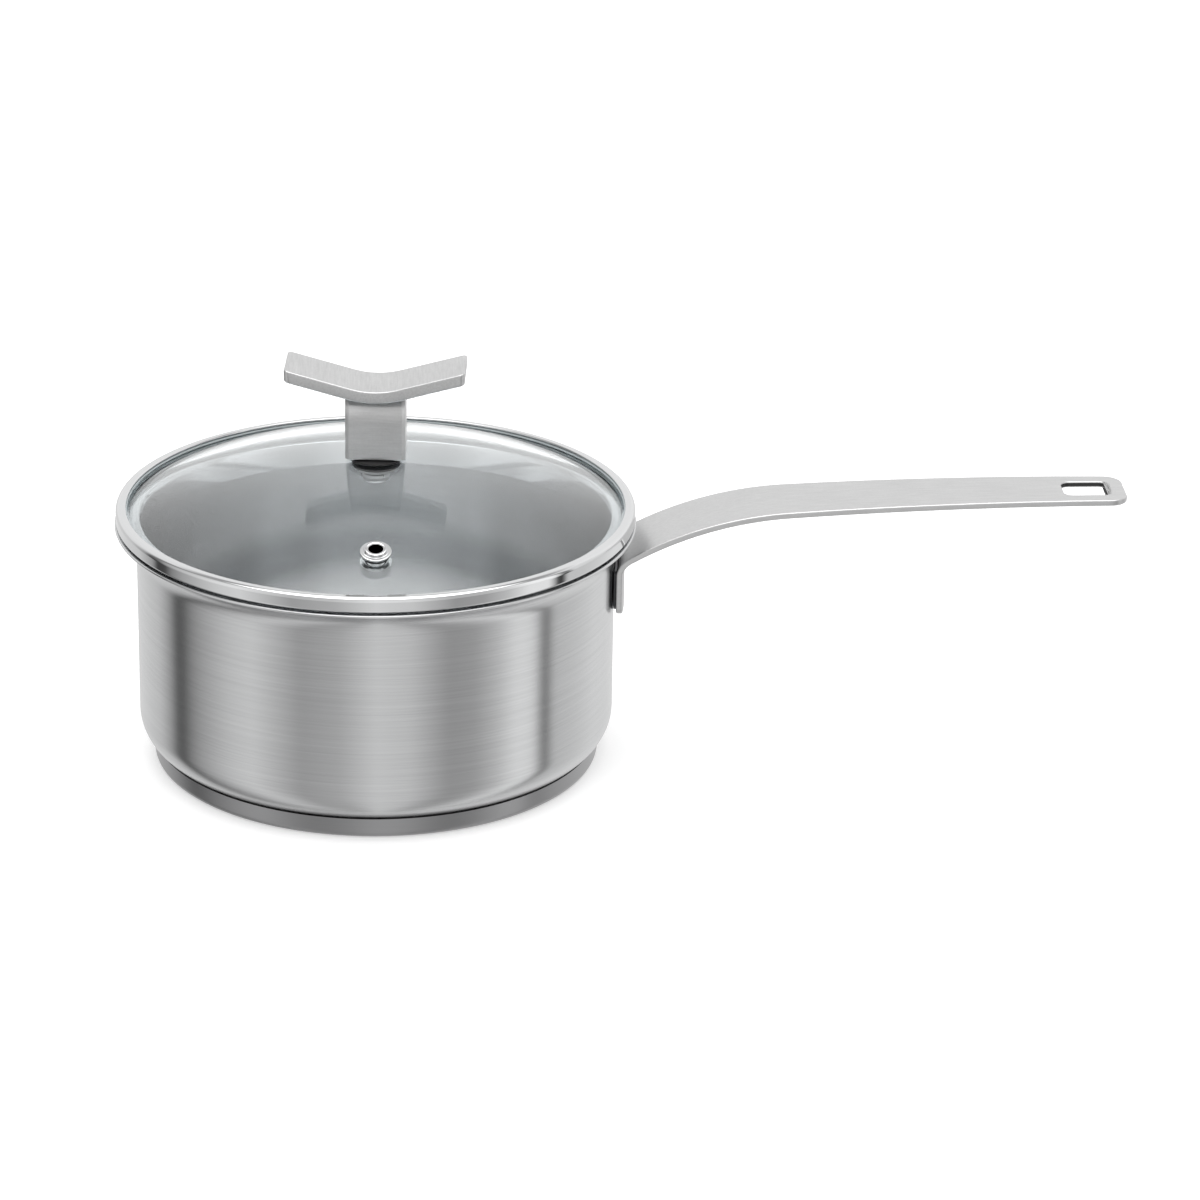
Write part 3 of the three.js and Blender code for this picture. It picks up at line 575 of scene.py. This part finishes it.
def make_vent():
    """Gasket, eyelet with a rolled collar and a flared foot, and the washer under the glass. The vertex
    attribute for painted shade is 1 down the eyelet's bore, which lies in shade."""
    bore, tube, flange, sheet = 2.35, 3.05, 5.2, 0.7
    collar, foot_top, flange_under, crown = tube + sheet, -4.9, 1.5, 3.3
    gasket = vent_ring("vent_gasket_ring", [
        [tube + 0.3, 0.3], [4.7, 0.3], [4.7, 1.2], [tube + 0.3, 1.2],
    ], 0.25)
    eyelet = vent_ring("vent_eyelet_polished", [
        [bore, foot_top - sheet], [collar, foot_top - sheet], [collar, foot_top], [tube, foot_top],
        [tube, flange_under], [flange, flange_under], [flange, flange_under + sheet],
        [collar, flange_under + sheet], [collar, crown], [bore, crown],
    ], [0.3, 0.3, 0.25, 0.2, 0.2, 0.34, 0.34, 0.35, 0.62, 0.62])
    washer = vent_ring("vent_washer_plain", [
        [tube + 0.15, -4.6], [flange, -4.6], [flange, -3.9], [tube + 0.15, -3.9],
    ], 0.15)
    place = np.empty(len(eyelet.data.vertices) * 3)
    eyelet.data.vertices.foreach_get("co", place)
    local = place.reshape(-1, 3) / MM - np.array(VENT_PLACE.translation)
    local = local @ np.array(VENT_PLACE)[:3, :3]
    in_bore = (np.hypot(local[:, 0], local[:, 1]) < bore + 0.12) & (local[:, 2] < crown - 0.4)
    mark_hole_wall_shade(eyelet, in_bore.astype(float))
    return gasket, eyelet, washer


# ---- Knob ---------------------------------------------------------------------------------------
KNOB_PLACE = Matrix.Rotation(KNOB_TURN, 4, "Z")


def grip_height(x, below):
    """Height of the bar's face that lies below the upper face: an arc of radius R + below through
    the middle, z = c - sqrt((R + below)^2 - x^2), that runs on in straight wings."""
    radius = GRIP_BEND + below
    centre = GRIP_UNDER + GRIP_THICKNESS + GRIP_BEND
    turn = radius * math.sin(GRIP_WING)
    inner = np.minimum(np.abs(x), turn)
    return (centre - np.sqrt(radius ** 2 - inner ** 2)
            + (np.abs(x) - inner) * math.tan(GRIP_WING))


def make_grip():
    """A flat bar with round corners and edges, bent in the middle and winged up on both sides."""
    edge, corner, middle_rows = 0.5, 2.0, 70
    q = np.radians(np.linspace(10, 90, 9))
    out = (corner - edge) * (1 - np.cos(q))
    ends = GRIP_SPAN / 2 - edge - out
    middle = np.linspace(-ends[-1], ends[-1], middle_rows + 2)[1:-1]
    rows = np.concatenate([-ends, middle, ends[::-1]])
    inset = corner - (corner - edge) * np.sin(q)
    inset = np.concatenate([inset, np.full(middle_rows, edge), inset[::-1]])
    grid = strip_grid(rows, GRIP_DEPTH / 2 - inset, np.linspace(-1, 1, 21))

    def face(below):
        return lambda p: np.column_stack([p, grip_height(p[:, 0], below)])

    return plate("knob_grip_bar", grid.reshape(-1, 2), grid_quads(*grid.shape[:2]),
                 [grid_edge(*grid.shape[:2])], face(0.0), face(GRIP_THICKNESS),
                 GRIP_THICKNESS, edge, place=KNOB_PLACE)


def make_stem():
    """A chamfered block through rings of its outline. inset draws each ring in, lift raises the
    foot's rings for the bevel, and share is how far each ring has climbed to the top, which follows
    the bar's underside at a small gap."""
    half = np.array([STEM_WIDTH, STEM_DEPTH]) / 2
    x, y = half
    cut = STEM_BEVEL
    outline = softened([
        [x - cut, -y], [x, -y + cut], [x, y - cut], [x - cut, y],
        [-x + cut, y], [-x, y - cut], [-x, -y + cut], [-x + cut, -y],
    ], 0.3)
    foot = softened([[0.3, 0], [0, 0.3], [0, 5]], [0, 0.1, 0], closed=False)
    inset = np.concatenate([[6.0, 0.6], foot[:, 0], [0, 0, 1.0, 6.0]])
    lift = np.concatenate([[0, 0], foot[:, 1], [0, 0, 0, 0]])
    share = np.concatenate([np.zeros(2 + len(foot)), [0.6, 1, 1, 1]])
    scale = 1 - inset[:, None, None] / half
    plan = outline[None] * np.clip(scale, 0, 1)
    top = grip_height(plan[..., 0], GRIP_THICKNESS) - STEM_GAP
    z = STEM_BOTTOM + lift[:, None] + share[:, None] * (top - STEM_BOTTOM)
    rings = np.concatenate([plan, z[..., None]], -1)
    crown = grip_height(np.zeros(1), GRIP_THICKNESS)[0] - STEM_GAP
    first = np.broadcast_to([0, 0, STEM_BOTTOM], rings[:1].shape)
    last = np.broadcast_to([0, 0, crown], rings[:1].shape)
    return lofted("knob_stem_block", np.concatenate([first, rings, last]), place=KNOB_PLACE)


def knob_disc(name, node, radius, softness):
    """A flat ring of the knob's stack, at its node's height, with softened edges."""
    low, high = (c[2] for c in corners(node))
    return turned(name, softened([
        [KNOB_DISC_HOLE, low], [radius, low], [radius, high], [KNOB_DISC_HOLE, high],
    ], softness), steps=SMALL_ROUND, closed=True)


def make_lock_washer():
    """A split spring ring: a softened square section carried round all but the slot, rising a
    little from one end to the other."""
    low, high = (c[2] for c in corners("knob_lock_washer"))
    bore, outside, lead = 2.75, 4.6, 0.1
    under, top = low + 0.05, high - 0.15
    section = softened([
        [bore, under], [outside, under], [outside, top], [bore, top],
    ], 0.12, steps=3)
    slot = math.radians(6)
    a = np.linspace(slot, 2 * np.pi - slot, 90)
    rise = np.linspace(0, lead, len(a))
    rings = np.stack([
        np.outer(np.cos(a), section[:, 0]),
        np.outer(np.sin(a), section[:, 0]),
        section[None, :, 1] + rise[:, None],
    ], -1)
    ends = rings[[0, -1]].mean(1, keepdims=True).repeat(rings.shape[1], 1)
    rings = np.concatenate([ends[:1], rings, ends[1:]])
    return lofted("knob_lock_washer_split", rings[:, ::-1], place=KNOB_PLACE)


def make_screw():
    """A round-headed screw with a six-sided recess. Each level is a ring of radius
    r / ((1 - h) + h cos(a')), where h is 1 for the hexagon and 0 for a circle, and a' is the angle
    from the middle of the nearest flat."""
    low, high = (c[2] for c in corners("knob_screw"))
    head, shank, recess = 4.6, 2.5, 1.6 * math.cos(math.radians(30))
    recess_depth, break_edge, crown, fillet, point = 1.6, 0.15, 1.4, 0.1, 0.8
    under = low + 2.8
    levels = [
        (0, low + recess_depth, 1), (recess, low + recess_depth, 1), (recess, low + break_edge, 1),
        (recess + break_edge, low, 1), (head / 2, low, 0),
    ]
    levels += [(r, z, 0) for r, z in arc((head - crown, low + crown), crown, -90, 0, 8)]
    levels += [(head, under - fillet, 0), (head - fillet, under, 0), (shank + fillet, under, 0),
               (shank, under + fillet, 0), (shank, high - point, 0), (shank - point, high, 0),
               (0, high, 0)]
    r, z, h = np.array(levels, float).T
    a = np.linspace(0, 2 * np.pi, 72, endpoint=False)
    from_flat = (a + np.pi / 6) % (np.pi / 3) - np.pi / 6
    shape = (1 - h)[:, None] + h[:, None] * np.cos(from_flat)[None]
    reach = r[:, None] / shape
    rings = np.stack([reach * np.cos(a), reach * np.sin(a), np.repeat(z[:, None], len(a), 1)], -1)
    return lofted("knob_screw_round_head", rings, place=KNOB_PLACE)


# ---- Material groups ----------------------------------------------------------------------------
def new_group(name, inputs, outputs):
    """An empty node group with float inputs (name, default) and typed outputs (name, type)."""
    group = bpy.data.node_groups.new(name, "ShaderNodeTree")
    for label, default in inputs:
        socket = group.interface.new_socket(label, in_out="INPUT", socket_type="NodeSocketFloat")
        socket.default_value = default
    for label, kind in outputs:
        group.interface.new_socket(label, in_out="OUTPUT", socket_type=kind)
    return group, group.nodes.new("NodeGroupInput"), group.nodes.new("NodeGroupOutput")


def calc(tree, operation, first, second, clamp=False):
    """A Math node's result for two sockets or numbers."""
    node = tree.nodes.new("ShaderNodeMath")
    node.operation = operation
    node.use_clamp = clamp
    for slot, value in zip(node.inputs, (first, second)):
        if isinstance(value, (int, float)):
            slot.default_value = value
        else:
            tree.links.new(value, slot)
    return node.outputs[0]


def noise(tree, vector, scale, detail=3.0, roughness=0.55):
    """A noise from 0 to 1, read at a vector."""
    node = tree.nodes.new("ShaderNodeTexNoise")
    node.inputs["Scale"].default_value = scale
    node.inputs["Detail"].default_value = detail
    node.inputs["Roughness"].default_value = roughness
    tree.links.new(vector, node.inputs["Vector"])
    return node.outputs["Fac"]


def around_vector(tree, fine, slow):
    """Object coordinates recast so that a noise makes lines that run round Z: X and Y change
    slowly, and height plus distance from the axis changes fast."""
    place = tree.nodes.new("ShaderNodeTexCoord").outputs["Object"]
    split = tree.nodes.new("ShaderNodeSeparateXYZ")
    tree.links.new(place, split.inputs[0])
    flat = tree.nodes.new("ShaderNodeCombineXYZ")
    tree.links.new(split.outputs["X"], flat.inputs["X"])
    tree.links.new(split.outputs["Y"], flat.inputs["Y"])
    length = tree.nodes.new("ShaderNodeVectorMath")
    length.operation = "LENGTH"
    tree.links.new(flat.outputs[0], length.inputs[0])
    height = calc(tree, "ADD", split.outputs["Z"], length.outputs["Value"])
    join = tree.nodes.new("ShaderNodeCombineXYZ")
    tree.links.new(calc(tree, "MULTIPLY", split.outputs["X"], slow), join.inputs["X"])
    tree.links.new(calc(tree, "MULTIPLY", split.outputs["Y"], slow), join.inputs["Y"])
    tree.links.new(calc(tree, "MULTIPLY", height, fine), join.inputs["Z"])
    return join.outputs[0]


def tinted(tree, colour, shade):
    """colour times shade, as a colour."""
    node = tree.nodes.new("ShaderNodeVectorMath")
    node.operation = "SCALE"
    node.inputs[0].default_value = colour
    tree.links.new(shade, node.inputs["Scale"])
    return node.outputs[0]


def blend_of(tree, *parts):
    """The sum of (socket, share) pairs."""
    total = None
    for socket, share in parts:
        scaled = calc(tree, "MULTIPLY", socket, share)
        total = scaled if total is None else calc(tree, "ADD", total, scaled)
    return total


def shaded_about_one(tree, mix, contrast):
    """1 + contrast * (mix - 0.5), a shade for a colour."""
    centred = calc(tree, "SUBTRACT", mix, 0.5)
    return calc(tree, "ADD", calc(tree, "MULTIPLY", centred, contrast), 1.0)


FINISH_OUTPUTS = [("Height", "NodeSocketFloat"), ("Shade", "NodeSocketFloat")]


def build_brush_group():
    """Turned brushing: fine and coarse lines round Z, as a height and a shade about 1."""
    group, given, result = new_group("turned_brushing", [("Contrast", 0.1)], FINISH_OUTPUTS)
    fine = noise(group, around_vector(group, 2600.0, 22.0), 1.0, 2.0)
    coarse = noise(group, around_vector(group, 700.0, 9.0), 1.0, 3.0)
    both = blend_of(group, (fine, 0.6), (coarse, 0.4))
    group.links.new(both, result.inputs["Height"])
    group.links.new(shaded_about_one(group, both, given.outputs["Contrast"]), result.inputs["Shade"])
    return group


def build_grain_group():
    """Blasted satin: a fine even grain and a faint cloudiness, as a height and a shade about 1."""
    group, given, result = new_group("satin_grain", [("Contrast", 0.1)], FINISH_OUTPUTS)
    place = group.nodes.new("ShaderNodeTexCoord").outputs["Object"]
    fine = noise(group, place, 3200.0, 2.0)
    cloud = noise(group, place, 90.0, 3.0)
    both = blend_of(group, (fine, 0.75), (cloud, 0.25))
    group.links.new(fine, result.inputs["Height"])
    group.links.new(shaded_about_one(group, both, given.outputs["Contrast"]), result.inputs["Shade"])
    return group


def build_stroke_group():
    """Straight satin strokes of one length, over a fine grain and a faint cloudiness. The strokes
    run along X, or across it where Across is 1."""
    group, given, result = new_group("satin_strokes", [("Contrast", 0.1), ("Across", 0.0)],
                                     FINISH_OUTPUTS)
    place = group.nodes.new("ShaderNodeTexCoord").outputs["Object"]
    along, across = 110.0, 1500.0
    lines = []
    for scale in ((along, across, across), (across, along, across)):
        stretch = group.nodes.new("ShaderNodeMapping")
        stretch.inputs["Scale"].default_value = scale
        group.links.new(place, stretch.inputs["Vector"])
        lines.append(noise(group, stretch.outputs[0], 1.0, 3.0))
    change = calc(group, "SUBTRACT", lines[1], lines[0])
    strokes = calc(group, "ADD", lines[0], calc(group, "MULTIPLY", change, given.outputs["Across"]))
    grain = noise(group, place, 1300.0, 3.0)
    cloud = noise(group, place, 80.0, 3.0)
    both = blend_of(group, (strokes, 0.55), (grain, 0.3), (cloud, 0.15))
    group.links.new(both, result.inputs["Height"])
    group.links.new(shaded_about_one(group, both, given.outputs["Contrast"]), result.inputs["Shade"])
    return group


def build_handling_group():
    """Handling marks: soft patches and sparse fine scratches that lift the roughness a little."""
    group, given, result = new_group(
        "handling_marks", [("Roughness", 0.3), ("Patches", 0.05), ("Scratches", 0.05)],
        [("Roughness", "NodeSocketFloat")])
    place = group.nodes.new("ShaderNodeTexCoord").outputs["Object"]
    patches = calc(group, "SUBTRACT", noise(group, place, 28.0, 4.0), 0.5)
    turn = group.nodes.new("ShaderNodeMapping")
    turn.inputs["Rotation"].default_value = (0.3, 0.5, 0.9)
    turn.inputs["Scale"].default_value = (60.0, 1900.0, 900.0)
    group.links.new(place, turn.inputs["Vector"])
    lines = noise(group, turn.outputs[0], 1.0, 1.0)
    peaks = calc(group, "SUBTRACT", lines, 0.68, clamp=True)
    sparse = calc(group, "MULTIPLY", peaks, 4.0, clamp=True)
    soft = calc(group, "MULTIPLY", patches, given.outputs["Patches"])
    hard = calc(group, "MULTIPLY", sparse, given.outputs["Scratches"])
    total = calc(group, "ADD", calc(group, "ADD", given.outputs["Roughness"], soft), hard)
    group.links.new(total, result.inputs["Roughness"])
    return group


BRUSHING = build_brush_group()
GRAIN = build_grain_group()
STROKES = build_stroke_group()
HANDLING = build_handling_group()


BUMP_HEIGHT = 0.00004           # metres
GLASS_TINT = (0.95, 0.978, 0.988)
GLASS_SHADOW_TINT = (0.93, 0.955, 0.96, 1)


def place_group(tree, group, **values):
    """Puts a group in a material with its inputs set."""
    node = tree.nodes.new("ShaderNodeGroup")
    node.node_tree = group
    for label, value in values.items():
        node.inputs[label].default_value = value
    return node


def new_material(name, metallic=1.0):
    """A material, its node tree and its main shader."""
    material = bpy.data.materials.new(name)
    material.use_nodes = True
    shader = material.node_tree.nodes["Principled BSDF"]
    shader.inputs["Metallic"].default_value = metallic
    return material, material.node_tree, shader


def bumped(tree, shader, height, strength):
    """Lifts the surface by a height from 0 to 1."""
    bump = tree.nodes.new("ShaderNodeBump")
    bump.inputs["Strength"].default_value = strength
    bump.inputs["Distance"].default_value = BUMP_HEIGHT
    tree.links.new(height, bump.inputs["Height"])
    tree.links.new(bump.outputs["Normal"], shader.inputs["Normal"])


def metal(name, colour, roughness, surface, contrast, bump, patches=0.06, scratches=0.04,
          turned_finish=0.0, across=None, hole_shade=0.0):
    """A metal's finish: the surface group shades the colour and lifts a bump, the handling group sets
    the roughness. turned_finish spreads reflections across lines that run round Z. across turns
    straight strokes. hole_shade is how much painted shade darkens the wall of a hole, read from a
    vertex attribute."""
    material, tree, shader = new_material(name)
    finish = place_group(tree, surface, Contrast=contrast)
    if across is not None:
        finish.inputs["Across"].default_value = across
    marks = place_group(tree, HANDLING, Roughness=roughness, Patches=patches, Scratches=scratches)
    shade = finish.outputs["Shade"]
    if hole_shade:
        # Painted shade: the vertex attribute darkens the colour on the wall of a hole.
        hole_wall_shade = tree.nodes.new("ShaderNodeAttribute")
        hole_wall_shade.attribute_name = "hole_wall_shade"
        raw = calc(tree, "MULTIPLY", hole_wall_shade.outputs["Fac"], -hole_shade)
        shade = calc(tree, "MULTIPLY", shade, calc(tree, "ADD", raw, 1.0))
    tree.links.new(tinted(tree, colour, shade), shader.inputs["Base Color"])
    tree.links.new(marks.outputs["Roughness"], shader.inputs["Roughness"])
    bumped(tree, shader, finish.outputs["Height"], bump)
    if turned_finish:
        tangent = tree.nodes.new("ShaderNodeTangent")
        tangent.direction_type = "RADIAL"
        tangent.axis = "Z"
        tree.links.new(tangent.outputs[0], shader.inputs["Tangent"])
        shader.inputs["Anisotropic"].default_value = turned_finish
        shader.inputs["Anisotropic Rotation"].default_value = 0.25
    return material


def silicone(name, colour):
    """A soft matt rubber with a fine grain."""
    material, tree, shader = new_material(name, metallic=0.0)
    finish = place_group(tree, GRAIN, Contrast=0.5)
    marks = place_group(tree, HANDLING, Roughness=0.5, Patches=0.2, Scratches=0.1)
    tree.links.new(tinted(tree, colour, finish.outputs["Shade"]), shader.inputs["Base Color"])
    tree.links.new(marks.outputs["Roughness"], shader.inputs["Roughness"])
    bumped(tree, shader, finish.outputs["Height"], 0.25)
    return material


def tempered_glass(name):
    """Clear glass with a faint cool cast that lets lamps light what is behind it."""
    material, tree, shader = new_material(name, metallic=0.0)
    shader.inputs["Transmission Weight"].default_value = 1.0
    shader.inputs["IOR"].default_value = 1.5
    place = tree.nodes.new("ShaderNodeTexCoord").outputs["Object"]
    film = calc(tree, "MULTIPLY", noise(tree, place, 35.0, 2.0), 0.006)
    tree.links.new(film, shader.inputs["Roughness"])
    shade = calc(tree, "ADD", calc(tree, "MULTIPLY", noise(tree, place, 18.0, 2.0), 0.02), 0.985)
    tree.links.new(tinted(tree, GLASS_TINT, shade), shader.inputs["Base Color"])
    clear = tree.nodes.new("ShaderNodeBsdfTransparent")
    clear.inputs["Color"].default_value = GLASS_SHADOW_TINT
    path = tree.nodes.new("ShaderNodeLightPath")
    mix = tree.nodes.new("ShaderNodeMixShader")
    tree.links.new(path.outputs["Is Shadow Ray"], mix.inputs[0])
    tree.links.new(shader.outputs[0], mix.inputs[1])
    tree.links.new(clear.outputs[0], mix.inputs[2])
    tree.links.new(mix.outputs[0], tree.nodes["Material Output"].inputs["Surface"])
    return material


MIRROR = (0.72, 0.725, 0.73)
body_steel = metal("brushed_pan_steel", (0.64, 0.645, 0.65), roughness=0.21, surface=BRUSHING,
                   contrast=0.3, bump=0.3, scratches=0.05, turned_finish=0.9)
# Painted shade: the base cup's colour is darkened to stand for the floor's contact shadow mirrored in
# it.
cup_steel_painted_shade = metal("satin_base_steel_painted_shade", (0.36, 0.36, 0.365), roughness=0.36, surface=BRUSHING,
                  contrast=0.16, bump=0.25, patches=0.08, scratches=0.05, turned_finish=0.7)
core_metal = metal("base_core_aluminium", (0.72, 0.72, 0.73), roughness=0.5, surface=GRAIN,
                   contrast=0.2, bump=0.3, patches=0.1, scratches=0.1)
# hole_shade paints shade on the wall of the handle's hanging hole.
handle_steel = metal("satin_handle_steel", (0.62, 0.62, 0.62), roughness=0.34, surface=STROKES,
                     contrast=0.45, bump=0.6, across=0.0, hole_shade=0.9)
grip_steel = metal("satin_grip_steel", (0.61, 0.61, 0.61), roughness=0.33, surface=STROKES,
                   contrast=0.6, bump=0.7, across=1.0)
stem_steel = metal("brushed_stem_steel", (0.6, 0.6, 0.6), roughness=0.3, surface=STROKES,
                   contrast=0.4, bump=0.5, across=0.0)
mirror_steel = metal("mirror_polished_steel", MIRROR, roughness=0.06, surface=GRAIN,
                     contrast=0.04, bump=0.03, patches=0.05, scratches=0.06)
# hole_shade paints shade down the eyelet's bore.
eyelet_steel = metal("mirror_eyelet_steel", MIRROR, roughness=0.07, surface=GRAIN,
                     contrast=0.04, bump=0.03, patches=0.05, scratches=0.06, hole_shade=0.97)
# Painted shade: the weld plate is near black so that it stands for the shaded gap between the handle's
# tab and the wall.
plate_painted_shade_steel = metal("weld_tinted_steel", (0.07, 0.07, 0.075), roughness=0.3, surface=GRAIN,
                     contrast=0.5, bump=0.2, patches=0.1, scratches=0.1)
plain_steel = metal("plain_fastener_steel", (0.6, 0.6, 0.6), roughness=0.28, surface=GRAIN,
                    contrast=0.2, bump=0.2, patches=0.12, scratches=0.1)
black_rubber = silicone("black_silicone_rubber", (0.012, 0.012, 0.013))
pale_rubber = silicone("pale_milky_silicone", (0.45, 0.49, 0.5))
lid_glass = tempered_glass("tempered_lid_glass")


# ---- Assembly -----------------------------------------------------------------------------------
def finish_piece(piece, material, body, node):
    """Gives a piece its material, puts it on its body, and lets it stand for its CAD node."""
    piece.data.materials.append(material)
    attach(piece, body)
    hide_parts(node)


finish_piece(make_pan_body(), body_steel, "pan", "pan_body")
finish_piece(make_capsule(), cup_steel_painted_shade, "pan", "base_capsule")
finish_piece(make_handle(), handle_steel, "pan", "handle")
finish_piece(make_weld_plate(), plate_painted_shade_steel, "pan", "handle_weld_plate")
finish_piece(make_lid_rim(), mirror_steel, "lid", "lid_rim")
finish_piece(make_lid_seal(), pale_rubber, "lid", "lid_rim_seal")
finish_piece(make_glass(), lid_glass, "lid", "lid_glass")
vent_gasket, vent_eyelet, vent_washer = make_vent()
finish_piece(vent_gasket, black_rubber, "lid", "vent_gasket")
finish_piece(vent_eyelet, eyelet_steel, "lid", "vent_eyelet")
finish_piece(vent_washer, plain_steel, "lid", "vent_washer")
finish_piece(make_grip(), grip_steel, "lid", "knob_grip")
finish_piece(make_stem(), stem_steel, "lid", "knob_stem")
for name, node, radius, softness, material, slot in (
        ("knob_gasket_ring", "knob_gasket", 9.2, 0.3, black_rubber, "black_silicone"),
        ("knob_inner_gasket_ring", "knob_inner_gasket", 8.0, 0.2, black_rubber, "black_silicone"),
        ("knob_washer_plain", "knob_washer", 7.2, 0.2, plain_steel, "plain_steel")):
    finish_piece(knob_disc(name, node, radius, softness), material, "lid", node)
finish_piece(make_lock_washer(), plain_steel, "lid", "knob_lock_washer")
finish_piece(make_screw(), plain_steel, "lid", "knob_screw")
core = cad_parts["base_core"]          # closed in by the cup, so it keeps its own shape
core.data.materials.clear()
core.data.materials.append(core_metal)


# ---- Studio -------------------------------------------------------------------------------------
def make_floor():
    """A pale square the pan stands on, with a faint mottling. The steel mirrors the studio and not
    the floor."""
    half = 3.0
    mesh = bpy.data.meshes.new("studio_floor")
    mesh.from_pydata([(-half, -half, 0), (half, -half, 0), (half, half, 0), (-half, half, 0)],
                     [], [(0, 1, 2, 3)])
    floor = bpy.data.objects.new("studio_floor", mesh)
    bpy.context.scene.collection.objects.link(floor)
    material, tree, shader = new_material("pale_floor_paint", metallic=0.0)
    place = tree.nodes.new("ShaderNodeTexCoord").outputs["Object"]
    shade = calc(tree, "ADD", calc(tree, "MULTIPLY", noise(tree, place, 60.0), 0.02), 0.98)
    tree.links.new(tinted(tree, (0.85, 0.85, 0.85), shade), shader.inputs["Base Color"])
    shader.inputs["Roughness"].default_value = 0.9
    shader.inputs["Specular IOR Level"].default_value = 0.0
    shader.inputs["Emission Color"].default_value = (1, 1, 1, 1)
    shader.inputs["Emission Strength"].default_value = 0.4
    mesh.materials.append(material)
    floor.visible_glossy = False


# Light round the pan: (degrees from the front, counter-clockwise seen from above, brightness).
CARDS = [
    (-180, 0.8), (-150, 0.8), (-128, 0.72), (-116, 0.4), (-112, 0.06), (-106, 0.08), (-101, 0.3),
    (-94, 0.46), (-74, 0.76), (-62, 0.84), (-37, 0.44), (-18, 0.54), (0, 0.82), (16, 0.74),
    (35, 0.4), (48, 0.44), (60, 0.66), (71, 1.0), (82, 1.02), (85.5, 0.5), (87.5, 0.06), (90.5, 0.06),
    (93.5, 0.7), (104, 0.72), (130, 0.9), (150, 0.85), (180, 0.8),
]
# Light by height: (sine of the height angle, brightness, share of the ring of cards that stays).
CEILING = [
    (-1.0, 0.0, 1.0), (0.0, 0.0, 1.0), (0.15, 0.18, 1.0), (0.68, 0.18, 1.0),
    (0.77, 0.42, 0.0), (0.83, 0.45, 0.0), (0.91, 3.0, 0.0), (1.0, 3.0, 0.0),
]


def light_ramp(tree, position, stops):
    """A brightness that runs straight between (position, level) stops. The ramp holds shares of the
    highest level, which it is multiplied by afterwards."""
    ramp = tree.nodes.new("ShaderNodeValToRGB")
    peak = max(level for _, level in stops)
    elements = ramp.color_ramp.elements
    while len(elements) < len(stops):
        elements.new(1.0)
    for element, (at, level) in zip(elements, stops):
        element.position = at
        element.color = (level / peak, level / peak, level / peak, 1)
    tree.links.new(position, ramp.inputs[0])
    return calc(tree, "MULTIPLY", ramp.outputs[0], peak)


def make_studio_light():
    """A soft studio as the world: a ring of cards of different brightness round the pan, a little
    brighter above the horizon, then a dim gap, and a wide bright box overhead. The camera sees
    plain white."""
    world = bpy.data.worlds.new("soft_studio")
    bpy.context.scene.world = world
    world.use_nodes = True
    tree = world.node_tree
    place = tree.nodes.new("ShaderNodeTexCoord").outputs["Generated"]
    split = tree.nodes.new("ShaderNodeSeparateXYZ")
    tree.links.new(place, split.inputs[0])
    front = calc(tree, "MULTIPLY", split.outputs["Y"], -1.0)
    turn = calc(tree, "ARCTAN2", split.outputs["X"], front)
    share = calc(tree, "ADD", calc(tree, "DIVIDE", turn, 2 * math.pi), 0.5)
    around = light_ramp(tree, share, [((d + 180) / 360, level) for d, level in CARDS])
    height = calc(tree, "ADD", calc(tree, "MULTIPLY", split.outputs["Z"], 0.5), 0.5)
    above = light_ramp(tree, height, [((z + 1) / 2, level) for z, level, _ in CEILING])
    kept = light_ramp(tree, height, [((z + 1) / 2, part) for z, _, part in CEILING])
    level = calc(tree, "ADD", above, calc(tree, "MULTIPLY", around, kept))
    path = tree.nodes.new("ShaderNodeLightPath")
    unseen = calc(tree, "SUBTRACT", 1.0, path.outputs["Is Camera Ray"])
    lit = calc(tree, "MULTIPLY", level, unseen)
    seen = calc(tree, "ADD", lit, path.outputs["Is Camera Ray"])
    background = tree.nodes["Background"]
    background.inputs["Color"].default_value = (1, 1, 1, 1)
    tree.links.new(seen, background.inputs["Strength"])


def make_camera():
    """A long lens in front of the pan, looking down, turned a little and tilted a little."""
    elevation, turn, roll = (math.radians(v) for v in (22.06, 2.93, 1.03))
    distance = 1.535
    target = Vector((0.0762, -0.0039, 0.0557))
    forward = Vector((math.cos(elevation) * math.sin(turn), math.cos(elevation) * math.cos(turn),
                      -math.sin(elevation)))
    side = Vector((math.cos(turn), -math.sin(turn), 0))
    up = side.cross(forward)
    right = math.cos(roll) * side + math.sin(roll) * up
    above = math.cos(roll) * up - math.sin(roll) * side
    data = bpy.data.cameras.new("camera")
    data.lens, data.sensor_width = 135.0, 36.0
    data.clip_start, data.clip_end = 0.05, 20.0
    camera = bpy.data.objects.new("camera", data)
    place = Matrix((right, above, -forward)).transposed().to_4x4()
    place.translation = target - distance * forward
    camera.matrix_world = place
    bpy.context.scene.collection.objects.link(camera)
    bpy.context.scene.camera = camera


make_floor()
make_studio_light()
make_camera()
scene = bpy.context.scene
scene.view_settings.view_transform = "Standard"
scene.cycles.glossy_bounces = 8
scene.cycles.transmission_bounces = 16      # the lid is two glass faces, seen through twice
scene.cycles.max_bounces = 16
